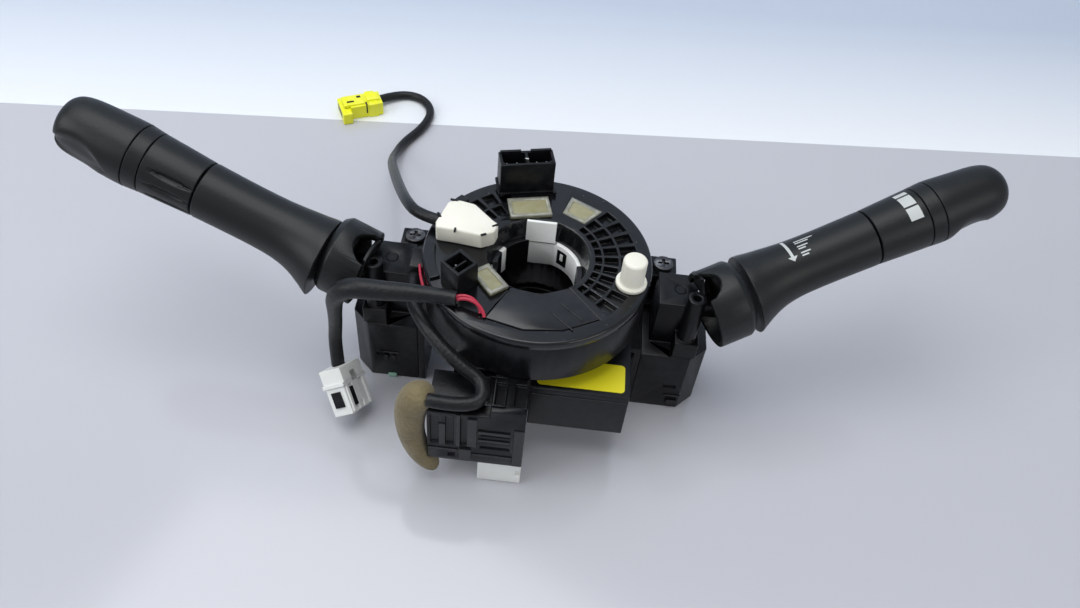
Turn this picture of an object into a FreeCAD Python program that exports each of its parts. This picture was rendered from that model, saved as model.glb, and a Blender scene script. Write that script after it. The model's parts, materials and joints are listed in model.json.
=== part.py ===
"""Steering column switch unit: steering angle sensor, spiral cable, turn and wiper levers.

Millimetres. The origin is on the steering column's axis, in the plane that the unit stands on.
+X is to the right, +Y away from the driver's near edge and +Z up the column, to the wheel.
"""
import FreeCAD
import Part
import Sketcher
import math
import os

V = FreeCAD.Vector

# Driving sizes, in millimetres and degrees
SIZES = {
    # Column bracket
    "column_radius": 19, "collar_wall": 5, "deck_bottom": 38, "deck_thick": 3,
    "deck_front": 12, "deck_back": 34, "wing_width": 66, "wing_front": 17.3,
    "side_wall_thick": 3.2, "rib_thick": 3, "rib_bottom": 20, "slot_width": 3,
    "clamp_height": 16, "clamp_reach": 12, "clamp_ear": 6.5, "clamp_screw_radius": 2.5,
    "clamp_screw_z": 8, "screw_clearance": 0.1,
    # Spiral cable case
    "case_radius": 49.3, "case_wall": 2, "case_bottom": 58, "case_floor": 2.5,
    "case_top": 78.6, "case_bore": 26, "spigot_wall": 2.5, "exit_width": 12,
    "exit_depth": 8, "exit_bottom": 64, "exit_top": 76, "exit_front": -8.9,
    "ear_x": 58.4, "ear_y": 24, "ear_radius": 6.5, "ear_hole": 2.3,
    "post_radius": 5, "post_hole_radius": 1.6, "screw_radius": 1.5, "screw_length": 14,
    "screw_head_radius": 4.5, "screw_head_height": 2.5, "cross_width": 1.2, "cross_length": 5,
    "cable_width": 13, "cable_thick": 0.6, "cable_first_radius": 33, "cable_pitch": 2.4,
    "cable_turns": 4, "cable_lift": 0.3,
    # Rotor
    "rotor_overhang": 0.7, "rotor_top": 83, "rotor_thick": 4, "hub_bore": 20, "hub_wall": 2.4,
    "hub_bottom": 42.8, "funnel_radius": 22.5, "funnel_drop": 9, "rib_floor": 1,
    "pocket_pitch": 10.5, "pocket_gap": 2.6, "pocket_start": -40, "pocket_count": 9,
    "row_one_inner": 25, "row_one_outer": 27.8, "row_two_inner": 29, "row_two_outer": 35,
    "row_three_inner": 36.4, "row_three_outer": 43.6, "rim_step": 0.8,
    "lid_thick": 1.9, "lid_recess": 1.5, "lid_gap": 0.25, "lid_inner": 23.4,
    "lid_outer": 43.4, "lid_left": -115, "lid_right": -50,
    # Rotor fittings
    "socket_width": 25, "socket_depth": 10, "socket_top": 100, "socket_wall": 1.4,
    "socket_floor": 5, "socket_azimuth": 103, "socket_distance": 45, "socket_turn": 14,
    "side_socket_size": 11, "side_socket_top": 96, "side_socket_x": -31.4,
    "side_socket_y": -22.2, "side_socket_turn": -40, "pin_width": 0.64, "pin_rise": 9,
    "plate_thick": 1.2, "plate_width": 19, "plate_depth": 12, "plate_distance": 29,
    "side_plate_width": 9, "side_plate_length": 15.2, "side_plate_x": -19.1,
    "side_plate_y": -18.9, "side_plate_turn": -50,
    "window_azimuth": 61.5, "window_inner": 29.5, "window_outer": 41.5,
    "window_half": 11.5, "window_recess": 1.4, "outlet_height": 8.6,
    "drive_pin_x": 40.6, "drive_pin_y": -11, "drive_pin_radius": 5.15,
    "drive_pin_height": 14.6, "drive_pin_flange": 6.7, "drive_pin_flange_thick": 2,
    "cam_bore": 18.2, "cam_bottom": 60, "cam_low": 66, "cam_high": 76,
    "cam_step": 2, "cam_gap": 32, "cam_tab_top": 86, "cam_tab_width": 13.5,
    "cam_tab_inner": 17.2, "cam_tab_outer": 18.6,
    # Steering angle sensor
    "sensor_floor": 41, "sensor_floor_thick": 1.5, "sensor_top": 49, "sensor_cover_thick": 1.5,
    "sensor_wall": 1.6, "sensor_ring_radius": 31.5, "sensor_bore": 23.5, "box_left": 3.2,
    "box_right": 46, "box_front": -45.5, "box_back": -25.2, "box_bottom": 21,
    "gear_module": 1, "drive_teeth": 54, "first_teeth": 18, "second_teeth": 17,
    "gear_bottom": 43.2, "gear_face": 3.6, "first_azimuth": -60, "second_azimuth": -21,
    "tooth_backlash": 0.12, "gear_bore": 2.05, "gear_post": 2,
    "board_thick": 1.2, "board_gap": 6,
    "label_width": 38, "label_depth": 15, "label_thick": 0.2,
    # Connector block
    "block_left": -38.3, "block_right": 3, "block_front": -67, "block_back": -45,
    "block_bottom": 18, "block_top": 53, "block_step": 4.5, "block_step_left": -11.8,
    "arm_left": -30, "arm_back": -30.5, "arm_right": 0, "arm_bottom": 51,
    "mouth_wall": 2, "mouth_roof": 4, "mouth_split": -16.5, "white_drop": 17.5,
    "insert_gap": 0.3, "block_rib": 1.2, "groove_left": -36.8, "groove_width": 3.4,
    "groove_pitch": 6.4, "groove_count": 3, "groove_depth": 1, "groove_bottom": 30.2,
    "groove_top": 50.5, "slot_left": -15.5, "slot_right": -3, "slot_height": 1.9,
    "slot_low": 29.6, "slot_pitch": 4.8, "latch_left": -29.4, "latch_low": 20.9,
    "latch_size": 3, "panel_width": 4.4, "panel_length": 11,
    # Switch housings
    "housing_inner": 52, "housing_bevel": 75, "housing_outer": 83, "housing_front": -12,
    "housing_bevel_y": -4, "housing_back": 24, "housing_back_bevel": 78,
    "tower_inward": 10, "tower_outward": 8, "tower_front": -3, "tower_back": 17,
    "tower_top": 64, "tower_wall": 2, "tower_floor": 44, "tower_roof": 2,
    "boss_x": 71.5, "boss_y": -6, "boss_radius": 4.2,
    "boss_hole_radius": 1.7, "boss_top": 73.5, "boss_hole_depth": 12, "shelf_inner": 66,
    "shelf_outer": 77, "shelf_front": -11.5, "shelf_top": 47.5,
    "catch_width": 6, "catch_height": 2, "catch_depth": 1.2, "catch_x": 66, "catch_z": 15,
    # Levers
    "pivot_x": 66, "pivot_y": 7, "pivot_z": 56, "yoke_bottom": 46, "yoke_top": 61.7,
    "yoke_gap": 2.5, "yoke_outward": 5, "yoke_half": 6.5, "stub_radius": 2.5,
    "running_gap": 0.05, "stem_half_width": 4, "stem_half_height": 3.2, "stem_gap": 0.3,
    "flash_pin_radius": 1.5, "stem_end": 87.5, "neck_y": 0,
    "lever_x": 87, "left_lever_y": -1.9, "right_lever_y": 3.7, "lever_z": 68,
    "lever_rise": 16.4, "left_sweep": 13.4, "right_sweep": 23.8,
    "neck_start": -12, "neck_shoulder": 2.8, "neck_end": 5.6, "neck_half": 17.8,
    "neck_bevel": 2, "neck_wall": 2.5, "neck_web": 3, "relief_radius": 8,
    "neck_inner_x": 77, "neck_over_tower": 2.7, "lever_start": 6.8, "flare_half": 18.2,
    "flare_shift": 2.2, "throat_u": 13, "throat_half": 16.3, "throat_shift": 1.1,
    "shoulder_u": 20, "shoulder_half": 14.4, "shoulder_shift": 0.4, "waist_u": 36,
    "waist_half": 12.8, "left_ring_start": 66.7, "right_ring_start": 68.2, "ring_half": 13,
    "left_ring_end": 91.3, "right_ring_end": 92.6, "band_half": 14.2, "left_band_end": 98,
    "right_band_end": 99, "knob_half": 14.8, "part_gap": 0.6, "spindle_radius": 6,
    "knob_spindle_radius": 4, "knob_spindle_length": 12, "left_tip": 132.5,
    "right_tip": 135.2, "knob_body_half": 14.1, "knob_waist_half": 13.3,
    "knob_front_half": 11.6, "knob_lift": 0.6, "tip_half": 8.4, "knob_end_half": 3.6,
    "root_spigot_radius": 9,
    # Leads
    "stator_lead_radius": 3, "airbag_lead_radius": 2.6, "wheel_lead_radius": 3.9,
    "yellow_plug_length": 26.5, "yellow_plug_width": 15, "yellow_plug_height": 10,
    "yellow_plug_heading": 206, "yellow_plug_offset": -3.6, "yellow_hood_length": 6,
    "yellow_hood_reach": 3.4, "white_plug_width": 12, "white_plug_depth": 18.6,
    "white_plug_length": 22.4, "wheel_wire_radius": 0.75,
    "tape_width": 14, "tape_top": 60.5, "tape_lip": 54.6, "tape_middle": 32,
    "tape_bulge": 15.5, "tape_thick": 10.5, "tape_foot": 13, "tape_bottom": 3.5,
    "tape_tuck": 5, "tape_gap": 0.5,
}

doc = FreeCAD.newDocument("ColumnSwitch")
sheet = doc.addObject("Spreadsheet::Sheet", "Sizes")
for row, (alias, number) in enumerate(SIZES.items(), start=1):
    sheet.set(f"A{row}", alias)
    sheet.set(f"B{row}", str(number))
    sheet.setAlias(f"B{row}", alias)
doc.recompute()


class Size:
    """A number that also knows the sheet expression that gives it."""

    def __init__(self, number, text=None):
        self.number = float(number)
        self.text = text or f"({float(number):.9g})"

    def __float__(self):
        return self.number

    def __int__(self):
        return int(round(self.number))

    def __neg__(self):
        return Size(-self.number, f"(-1 * {self.text})")

    def __add__(self, other):
        other = as_size(other)
        return Size(self.number + other.number, f"({self.text} + {other.text})")

    def __sub__(self, other):
        other = as_size(other)
        return Size(self.number - other.number, f"({self.text} - {other.text})")

    def __mul__(self, other):
        other = as_size(other)
        return Size(self.number * other.number, f"({self.text} * {other.text})")

    def __truediv__(self, other):
        other = as_size(other)
        return Size(self.number / other.number, f"({self.text} / {other.text})")

    def __radd__(self, other):
        return as_size(other) + self

    def __rsub__(self, other):
        return as_size(other) - self

    def __rmul__(self, other):
        return as_size(other) * self


def as_size(value):
    """Wrap a plain number, so that numbers and sheet sizes mix."""
    return value if isinstance(value, Size) else Size(value)


def cosine(angle):
    """Cosine of an angle in degrees."""
    angle = as_size(angle)
    return Size(math.cos(math.radians(angle.number)), f"cos({angle.text})")


def sine(angle):
    """Sine of an angle in degrees."""
    angle = as_size(angle)
    return Size(math.sin(math.radians(angle.number)), f"sin({angle.text})")


class SizeSheet:
    """Reads a size from the sheet by its alias."""

    def __getattr__(self, alias):
        return Size(sheet.get(alias), f"Sizes.{alias}")


S = SizeSheet()
RIGHT, LEFT = 1, -1
SIDE_NAMES = {RIGHT: "right", LEFT: "left"}
parts = []


def bind(item, prop, value):
    """Bind a property to a sheet expression."""
    item.setExpression(prop, as_size(value).text)


def at(item, x=0, y=0, z=0, rotation=None):
    """Place an object, its position bound to the sheet."""
    if rotation is not None:
        item.Placement = FreeCAD.Placement(V(), rotation)
    for axis, value in (("x", x), ("y", y), ("z", z)):
        bind(item, f"Placement.Base.{axis}", value)
    return item


def about_z(angle):
    """Rotation about the column's direction, in degrees."""
    return FreeCAD.Rotation(V(0, 0, 1), float(angle))


def keep(item, label):
    """Name a finished sub-part and list it for export."""
    item.Label = label
    parts.append(item)
    return item


# Sketch and feature helpers
def new_body(label):
    """Start a sub-part as a design body."""
    return keep(doc.addObject("PartDesign::Body", label), label)


def sketch_on(body, role="XY_Plane", offset=0):
    """Sketch on one of the body's own origin planes, moved along its normal."""
    sketch = body.newObject("Sketcher::SketchObject", body.Name + "_sketch")
    plane = next(item for item in body.Origin.OriginFeatures if item.Role == role)
    sketch.AttachmentSupport = [(plane, "")]
    sketch.MapMode = "FlatFace"
    bind(sketch, "AttachmentOffset.Base.z", offset)
    return sketch


def locate(sketch, index, position, x, y):
    """Hold one sketch point at x, y from the sketch's origin."""
    for kind, value in (("DistanceX", as_size(x)), ("DistanceY", as_size(y))):
        rule = Sketcher.Constraint(kind, -1, 1, index, position, value.number)
        bind(sketch, f"Constraints[{sketch.addConstraint(rule)}]", value)


def polygon(sketch, points):
    """Closed outline through points whose coordinates are sizes."""
    first = sketch.GeometryCount
    count = len(points)
    for start, end in zip(points, points[1:] + points[:1]):
        line = Part.LineSegment(V(*map(float, start)), V(*map(float, end)))
        sketch.addGeometry(line, False)
    for index in range(count):
        following = first + (index + 1) % count
        sketch.addConstraint(Sketcher.Constraint("Coincident", first + index, 2, following, 1))
    for index, (x, y) in enumerate(points):
        locate(sketch, first + index, 1, x, y)
    return sketch


def rectangle(sketch, left, right, front, back):
    """Rectangle between two x values and two y values."""
    return polygon(sketch, [(left, front), (right, front), (right, back), (left, back)])


def circle(sketch, radius, x=0, y=0):
    """Circle about x, y."""
    centre = V(float(x), float(y))
    index = sketch.addGeometry(Part.Circle(centre, V(0, 0, 1), float(radius)), False)
    locate(sketch, index, 3, x, y)
    rule = Sketcher.Constraint("Radius", index, float(radius))
    bind(sketch, f"Constraints[{sketch.addConstraint(rule)}]", radius)
    return sketch


def pad(body, sketch, length, reverse=False):
    """Add the sketch's shape to the body."""
    feature = body.newObject("PartDesign::Pad", body.Name + "_pad")
    feature.Profile = sketch
    bind(feature, "Length", length)
    feature.Reversed = reverse
    return feature


def pocket(body, sketch, depth, up=False):
    """Cut the sketch's shape out of the body, downwards unless told otherwise."""
    feature = body.newObject("PartDesign::Pocket", body.Name + "_pocket")
    feature.Profile = sketch
    bind(feature, "Length", depth)
    feature.Reversed = up
    return feature


def revolve(body, outline):
    """Turn an (r, z) outline about the column direction."""
    sketch = polygon(sketch_on(body, "XZ_Plane"), outline)
    feature = body.newObject("PartDesign::Revolution", body.Name + "_turning")
    feature.Profile = sketch
    feature.ReferenceAxis = (sketch, ["V_Axis"])
    feature.Angle = 360
    return feature


def polar(body, feature, angle, count):
    """Repeat a feature about the column's axis."""
    pattern = body.newObject("PartDesign::PolarPattern", body.Name + "_pattern")
    pattern.Originals = [feature]
    pattern.Axis = (feature.Profile[0], ["N_Axis"])
    bind(pattern, "Angle", angle)
    bind(pattern, "Occurrences", count)
    body.Tip = pattern
    return pattern


def box(label, low, high):
    """Plain block between two corners."""
    block = doc.addObject("Part::Box", label)
    for prop, start, end in zip(("Length", "Width", "Height"), low, high):
        bind(block, prop, as_size(end) - as_size(start))
    return at(block, *low)


def cylinder(label, radius, height, x=0, y=0, z=0, rotation=None):
    """Plain cylinder standing on x, y, z."""
    rod = doc.addObject("Part::Cylinder", label)
    bind(rod, "Radius", radius)
    bind(rod, "Height", height)
    return at(rod, x, y, z, rotation)


def fuse(label, shapes):
    """Join shapes into one solid."""
    joined = doc.addObject("Part::MultiFuse", label)
    joined.Shapes = shapes
    return joined


def cut(label, base, tool):
    """Take one shape out of another."""
    result = doc.addObject("Part::Cut", label)
    result.Base = base
    result.Tool = tool
    return result


def sector(inner, outer, azimuth, half_angle):
    """Corners of a ring sector about the column axis."""
    low, high = azimuth - half_angle, azimuth + half_angle
    return [(radius * cosine(angle), radius * sine(angle))
            for radius, angle in ((inner, low), (outer, low), (outer, high), (inner, high))]


def turned(points, x, y, angle):
    """Outline points turned by an angle and moved to x, y."""
    return [(x + a * cosine(angle) - b * sine(angle), y + a * sine(angle) + b * cosine(angle))
            for a, b in points]


def half_box(half_x, half_y):
    """Corners of a centred rectangle."""
    return [(-half_x, -half_y), (half_x, -half_y), (half_x, half_y), (-half_x, half_y)]


# Column bracket, which carries both switches and the spiral cable
def switch_base():
    """Collar, deck with two wings, side walls, ribs and screw posts."""
    body = new_body("switch_base")
    deck_top = S.deck_bottom + S.deck_thick
    collar = S.column_radius + S.collar_wall
    pad(body, circle(sketch_on(body), collar), deck_top)
    inner = S.housing_inner
    deck = [(-inner, -S.deck_front), (inner, -S.deck_front), (inner, S.wing_front),
            (S.wing_width, S.wing_front), (S.wing_width, S.deck_back),
            (-S.wing_width, S.deck_back), (-S.wing_width, S.wing_front),
            (-inner, S.wing_front)]
    pad(body, polygon(sketch_on(body, offset=S.deck_bottom), deck), S.deck_thick)
    for side in (RIGHT, LEFT):
        wall = sorted((side * inner, side * (inner - S.side_wall_thick)), key=float)
        pad(body, rectangle(sketch_on(body), *wall, -S.deck_front, S.housing_back), deck_top)
        rib = sorted((side * S.column_radius, side * inner), key=float)
        half = S.rib_thick / 2
        sketch = sketch_on(body, offset=S.rib_bottom)
        pad(body, rectangle(sketch, *rib, -half, half), S.deck_bottom - S.rib_bottom)
        sketch = circle(sketch_on(body, offset=deck_top), S.post_radius, side * S.ear_x, S.ear_y)
        pad(body, sketch, S.case_bottom - deck_top)
    for side in (RIGHT, LEFT):
        ear = sorted((side * S.slot_width / 2, side * S.clamp_ear), key=float)
        sketch = rectangle(sketch_on(body), *ear, S.column_radius, collar + S.clamp_reach)
        pad(body, sketch, S.clamp_height)
        sketch = sketch_on(body, offset=S.case_bottom)
        pocket(body, circle(sketch, S.post_hole_radius, side * S.ear_x, S.ear_y), S.screw_length)
    pocket(body, circle(sketch_on(body), S.column_radius), deck_top, up=True)
    slot = rectangle(sketch_on(body), -S.slot_width / 2, S.slot_width / 2, 0, collar + S.rib_thick)
    pocket(body, slot, S.clamp_height, up=True)
    sketch = sketch_on(body, "YZ_Plane", -S.clamp_ear)
    hole = S.clamp_screw_radius + S.screw_clearance
    circle(sketch, hole, collar + S.clamp_reach / 2, S.clamp_screw_z)
    pocket(body, sketch, 2 * S.clamp_ear, up=True)


def clamp_screw():
    """Screw that pinches the collar on the column tube."""
    y = S.column_radius + S.collar_wall + S.clamp_reach / 2
    along_x = FreeCAD.Rotation(V(0, 1, 0), 90)
    shank = cylinder("clamp_shank", S.clamp_screw_radius, 2 * S.clamp_ear + S.slot_width,
                     -S.clamp_ear, y, S.clamp_screw_z, along_x)
    head = cylinder("clamp_head", S.screw_head_radius, S.screw_head_height,
                    -S.clamp_ear - S.screw_head_height, y, S.clamp_screw_z, along_x)
    keep(fuse("clamp_screw", [shank, head]), "clamp_screw")


# Spiral cable: the still half
def spiral_case():
    """Round case with a spigot below, and two screw ears."""
    body = new_body("spiral_case")
    wall_inner = S.case_radius - S.case_wall
    floor_top = S.case_bottom + S.case_floor
    spigot = S.case_bore + S.spigot_wall
    revolve(body, [(S.case_bore, S.sensor_top), (spigot, S.sensor_top),
                   (spigot, S.case_bottom), (S.case_radius, S.case_bottom),
                   (S.case_radius, S.case_top), (wall_inner, S.case_top),
                   (wall_inner, floor_top), (S.case_bore, floor_top)])
    for side in (RIGHT, LEFT):
        near, far = S.ear_y - S.ear_radius, S.ear_y + S.ear_radius
        tip = S.ear_x + S.ear_radius
        bevel = S.ear_radius / 2
        outline = [(side * (S.ear_x - 3 * S.ear_radius), near), (side * (tip - bevel), near),
                   (side * tip, near + bevel), (side * tip, far),
                   (side * (S.ear_x - 3.4 * S.ear_radius), far)]
        pad(body, polygon(sketch_on(body, offset=S.case_bottom), outline), S.case_floor)
        sketch = circle(sketch_on(body, offset=floor_top), S.ear_hole, side * S.ear_x, S.ear_y)
        pocket(body, sketch, S.case_floor)
    root = S.case_wall - S.case_radius
    sketch = rectangle(sketch_on(body, offset=S.exit_bottom), root - S.exit_depth, root,
                       S.exit_front, S.exit_front + S.exit_width)
    pad(body, sketch, S.exit_top - S.exit_bottom)


def case_screws():
    """Two cross-head screws through the ears."""
    seat = S.case_bottom + S.case_floor
    screws = []
    for side in (RIGHT, LEFT):
        x = side * S.ear_x
        shank = cylinder("screw_shank", S.screw_radius, S.screw_length, x, S.ear_y,
                         seat - S.screw_length)
        head = cylinder("screw_head", S.screw_head_radius, S.screw_head_height, x, S.ear_y, seat)
        top = seat + S.screw_head_height
        half, arm = S.cross_width / 2, S.cross_length / 2
        low = top - S.screw_head_height / 2
        cross = fuse("screw_cross", [
            box("cross_arm", (x - arm, S.ear_y - half, low), (x + arm, S.ear_y + half, top)),
            box("cross_arm", (x - half, S.ear_y - arm, low), (x + half, S.ear_y + arm, top))])
        screws.append(cut("screw", fuse("screw_blank", [shank, head]), cross))
    group = doc.addObject("Part::Compound", "case_screws")
    group.Links = screws
    keep(group, "case_screws")


def flat_cable():
    """Flat ribbon wound in half circles between the hub and the case wall."""
    step = float(S.cable_pitch) / 4
    thick = float(S.cable_thick)
    edges_in, edges_out = [], []
    radius = float(S.cable_first_radius)
    for half in range(2 * int(S.cable_turns)):
        centre = V(step if half % 2 else -step, 0)
        start = 180 * (half % 2)
        for edges, grown in ((edges_in, radius), (edges_out, radius + thick)):
            ring = Part.Circle(centre, V(0, 0, 1), grown)
            edges.append(Part.Arc(ring, math.radians(start), math.radians(start + 180)).toShape())
        radius += 2 * step
    first = Part.makeLine(edges_in[0].firstVertex().Point, edges_out[0].firstVertex().Point)
    last = Part.makeLine(edges_in[-1].lastVertex().Point, edges_out[-1].lastVertex().Point)
    outline = Part.Wire(Part.__sortEdges__(edges_in + [last] + edges_out + [first]))
    ribbon = doc.addObject("Part::Feature", "flat_cable")
    ribbon.Shape = Part.Face(outline).extrude(V(0, 0, float(S.cable_width)))
    at(ribbon, 0, 0, S.case_bottom + S.case_floor + S.cable_lift)
    keep(ribbon, "flat_cable")


# Rotor and what it carries
def rotor():
    """Disc, funnel and hub, with three rows of open pockets between ribs."""
    body = new_body("rotor")
    top, under = S.rotor_top, S.rotor_top - S.rotor_thick
    hub = S.hub_bore + S.hub_wall
    rim = S.case_radius + S.rotor_overhang
    revolve(body, [(S.hub_bore, S.hub_bottom), (hub, S.hub_bottom),
                   (hub, under - S.funnel_drop), (S.funnel_radius + S.hub_wall, under),
                   (rim, under), (rim, top - S.rim_step),
                   (rim - S.rim_step, top), (S.funnel_radius, top),
                   (S.hub_bore, top - S.funnel_drop)])
    depth = S.rotor_thick - S.rib_floor
    half = (S.pocket_pitch - S.pocket_gap) / 2
    rows = ((S.row_one_inner, S.row_one_outer, S.pocket_start, S.pocket_count),
            (S.row_two_inner, S.row_two_outer, S.pocket_start, S.pocket_count),
            (S.row_three_inner, S.row_three_outer, S.pocket_start, Size(2)),
            (S.row_three_inner, S.row_three_outer, S.pocket_start + 4 * S.pocket_pitch, Size(5)),
            (S.row_two_inner, S.row_two_outer, S.pocket_start + 16 * S.pocket_pitch, Size(2)),
            (S.row_three_inner, S.row_three_outer, S.pocket_start + 15 * S.pocket_pitch, Size(3)))
    for inner, outer, start, count in rows:
        sketch = polygon(sketch_on(body, offset=top), sector(inner, outer, start, half))
        first = pocket(body, sketch, depth)
        polar(body, first, (count - 1) * S.pocket_pitch, count)
    sketch = polygon(sketch_on(body, offset=top), lid_outline(S.lid_gap))
    pocket(body, sketch, S.lid_recess)
    window = sector(S.window_inner, S.window_outer, S.window_azimuth, S.window_half)
    pocket(body, polygon(sketch_on(body, offset=top), window), S.window_recess)


def lid_outline(gap):
    """Wedge between two azimuths, with its outer side in three straight runs."""
    spread = gap / 2
    left, right = S.lid_left - spread, S.lid_right + spread
    third = (right - left) / 3
    outer = [(S.lid_outer + gap, left + third * step) for step in range(4)]
    inner = [(S.lid_inner - gap, right), (S.lid_inner - gap, right - 1.5 * third),
             (S.lid_inner - gap, left)]
    return [(radius * cosine(angle), radius * sine(angle)) for radius, angle in outer + inner]


def rotor_lid():
    """Flush cover over the ribbon's end."""
    body = new_body("rotor_lid")
    base = S.rotor_top - S.lid_recess
    pad(body, polygon(sketch_on(body, offset=base), lid_outline(Size(0))), S.lid_thick)


def socket_place(distance):
    """Point on the socket's radius."""
    return distance * cosine(S.socket_azimuth), distance * sine(S.socket_azimuth)


def top_socket():
    """Upright two-cavity connector, its pins, and the clear plate before it."""
    x, y = socket_place(S.socket_distance)
    width, depth = S.socket_width / 2, S.socket_depth / 2
    base, floor = S.rotor_top, S.rotor_top + S.socket_floor
    body = new_body("top_socket")
    outline = turned(half_box(width, depth), x, y, S.socket_turn)
    pad(body, polygon(sketch_on(body, offset=base), outline), S.socket_top - base)
    cavity = (width - 1.5 * S.socket_wall) / 2
    for side in (RIGHT, LEFT):
        centre = side * (cavity + S.socket_wall / 2)
        inside = [(centre + a, b) for a, b in half_box(cavity, depth - S.socket_wall)]
        sketch = sketch_on(body, offset=S.socket_top)
        pocket(body, polygon(sketch, turned(inside, x, y, S.socket_turn)), S.socket_top - floor)
    pins = []
    pitch = S.socket_width / 6
    for step in (-2, -1, 1, 2):
        half = S.pin_width / 2
        (px, py), = turned([(step * pitch * 1.1, Size(0))], x, y, S.socket_turn)
        pins.append(box("socket_pin", (px - half, py - half, floor),
                        (px + half, py + half, floor + S.pin_rise)))
    group = doc.addObject("Part::Compound", "top_socket_pins")
    group.Links = pins
    keep(group, "top_socket_pins")
    px, py = socket_place(S.plate_distance)
    body = new_body("top_socket_plate")
    outline = turned(half_box(S.plate_width / 2, S.plate_depth / 2), px, py, S.socket_turn)
    pad(body, polygon(sketch_on(body, offset=base), outline), S.plate_thick)


def side_socket():
    """Square upright connector, its pins, and the clear plate beside it."""
    base, floor = S.rotor_top, S.rotor_top + S.socket_floor
    half = S.side_socket_size / 2
    x, y, angle = S.side_socket_x, S.side_socket_y, S.side_socket_turn
    body = new_body("side_socket")
    outline = turned(half_box(half, half), x, y, angle)
    pad(body, polygon(sketch_on(body, offset=base), outline), S.side_socket_top - base)
    inside = turned(half_box(half - S.socket_wall, half - S.socket_wall), x, y, angle)
    sketch = polygon(sketch_on(body, offset=S.side_socket_top), inside)
    pocket(body, sketch, S.side_socket_top - floor)
    pins = []
    for side in (RIGHT, LEFT):
        thin = S.pin_width / 2
        (px, py), = turned([(side * S.side_socket_size / 5, Size(0))], x, y, angle)
        pins.append(box("side_pin", (px - thin, py - thin, floor),
                        (px + thin, py + thin, floor + S.pin_rise / 2)))
    group = doc.addObject("Part::Compound", "side_socket_pins")
    group.Links = pins
    keep(group, "side_socket_pins")
    body = new_body("side_socket_plate")
    plate = half_box(S.side_plate_length / 2, S.side_plate_width / 2)
    outline = turned(plate, S.side_plate_x, S.side_plate_y, S.side_plate_turn)
    pad(body, polygon(sketch_on(body, offset=base), outline), S.plate_thick)


def turn_window():
    """Clear window over the ribbon, set in its recess."""
    body = new_body("turn_window")
    half = S.window_half - S.lid_gap
    outline = sector(S.window_inner + S.lid_gap, S.window_outer - S.lid_gap,
                     S.window_azimuth, half)
    base = S.rotor_top - S.window_recess
    pad(body, polygon(sketch_on(body, offset=base), outline), S.window_recess - S.rim_step / 2)


OUTLET_OUTLINE = [(-45.6, 5), (-42, 18.6), (-37, 20), (-30, 18.5), (-21, 9.5), (-18.4, 7.6),
                  (-19.6, 2.6), (-25, -0.6), (-36, 0.8), (-45, 1.4)]


def outlet_block():
    """White cover from which the airbag lead leaves."""
    body = new_body("outlet_block")
    pad(body, polygon(sketch_on(body, offset=S.rotor_top), OUTLET_OUTLINE), S.outlet_height)


def drive_pin():
    """Flanged locating pin that engages the steering wheel."""
    body = new_body("drive_pin")
    tip = S.drive_pin_radius - S.rim_step
    revolve(body, [(Size(0), Size(0)), (S.drive_pin_flange, Size(0)),
                   (S.drive_pin_flange, S.drive_pin_flange_thick),
                   (S.drive_pin_radius, S.drive_pin_flange_thick),
                   (S.drive_pin_radius, S.drive_pin_height - S.rim_step),
                   (tip, S.drive_pin_height), (Size(0), S.drive_pin_height)])
    at(body, S.drive_pin_x, S.drive_pin_y, S.rotor_top)


def cancel_cam():
    """White turn-signal cancelling sleeve in the rotor's bore, with its drive tab."""
    body = new_body("cancel_cam")
    outer = S.hub_bore
    revolve(body, [(S.cam_bore, S.cam_bottom), (outer, S.cam_bottom),
                   (outer, S.cam_high - S.cam_step),
                   (S.cam_bore, S.cam_high - S.cam_step)])
    half = S.cam_tab_width / 2
    sketch = rectangle(sketch_on(body, offset=S.cam_bottom), -half, half,
                       S.cam_tab_inner, S.cam_tab_outer)
    pad(body, sketch, S.cam_tab_top - S.cam_bottom)
    for azimuth in (-90, -20, 200):
        sketch = sketch_on(body, offset=S.cam_high)
        gap = sector(S.cam_bore - S.cam_step, outer + S.cam_step, Size(azimuth), S.cam_gap)
        pocket(body, polygon(sketch, gap), S.cam_high - S.cam_low)


# Steering angle sensor
def tooth_flank(base_radius, low, high, half_angle, sign):
    """Involute flank between two radii, as points from root to tip."""
    points = []
    for step in range(4):
        radius = low + (high - low) * step / 3
        roll = math.sqrt(max(0.0, (radius / base_radius) ** 2 - 1))
        angle = half_angle - (roll - math.atan(roll))
        points.append(V(radius * math.cos(sign * angle), radius * math.sin(sign * angle)))
    return points


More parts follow.
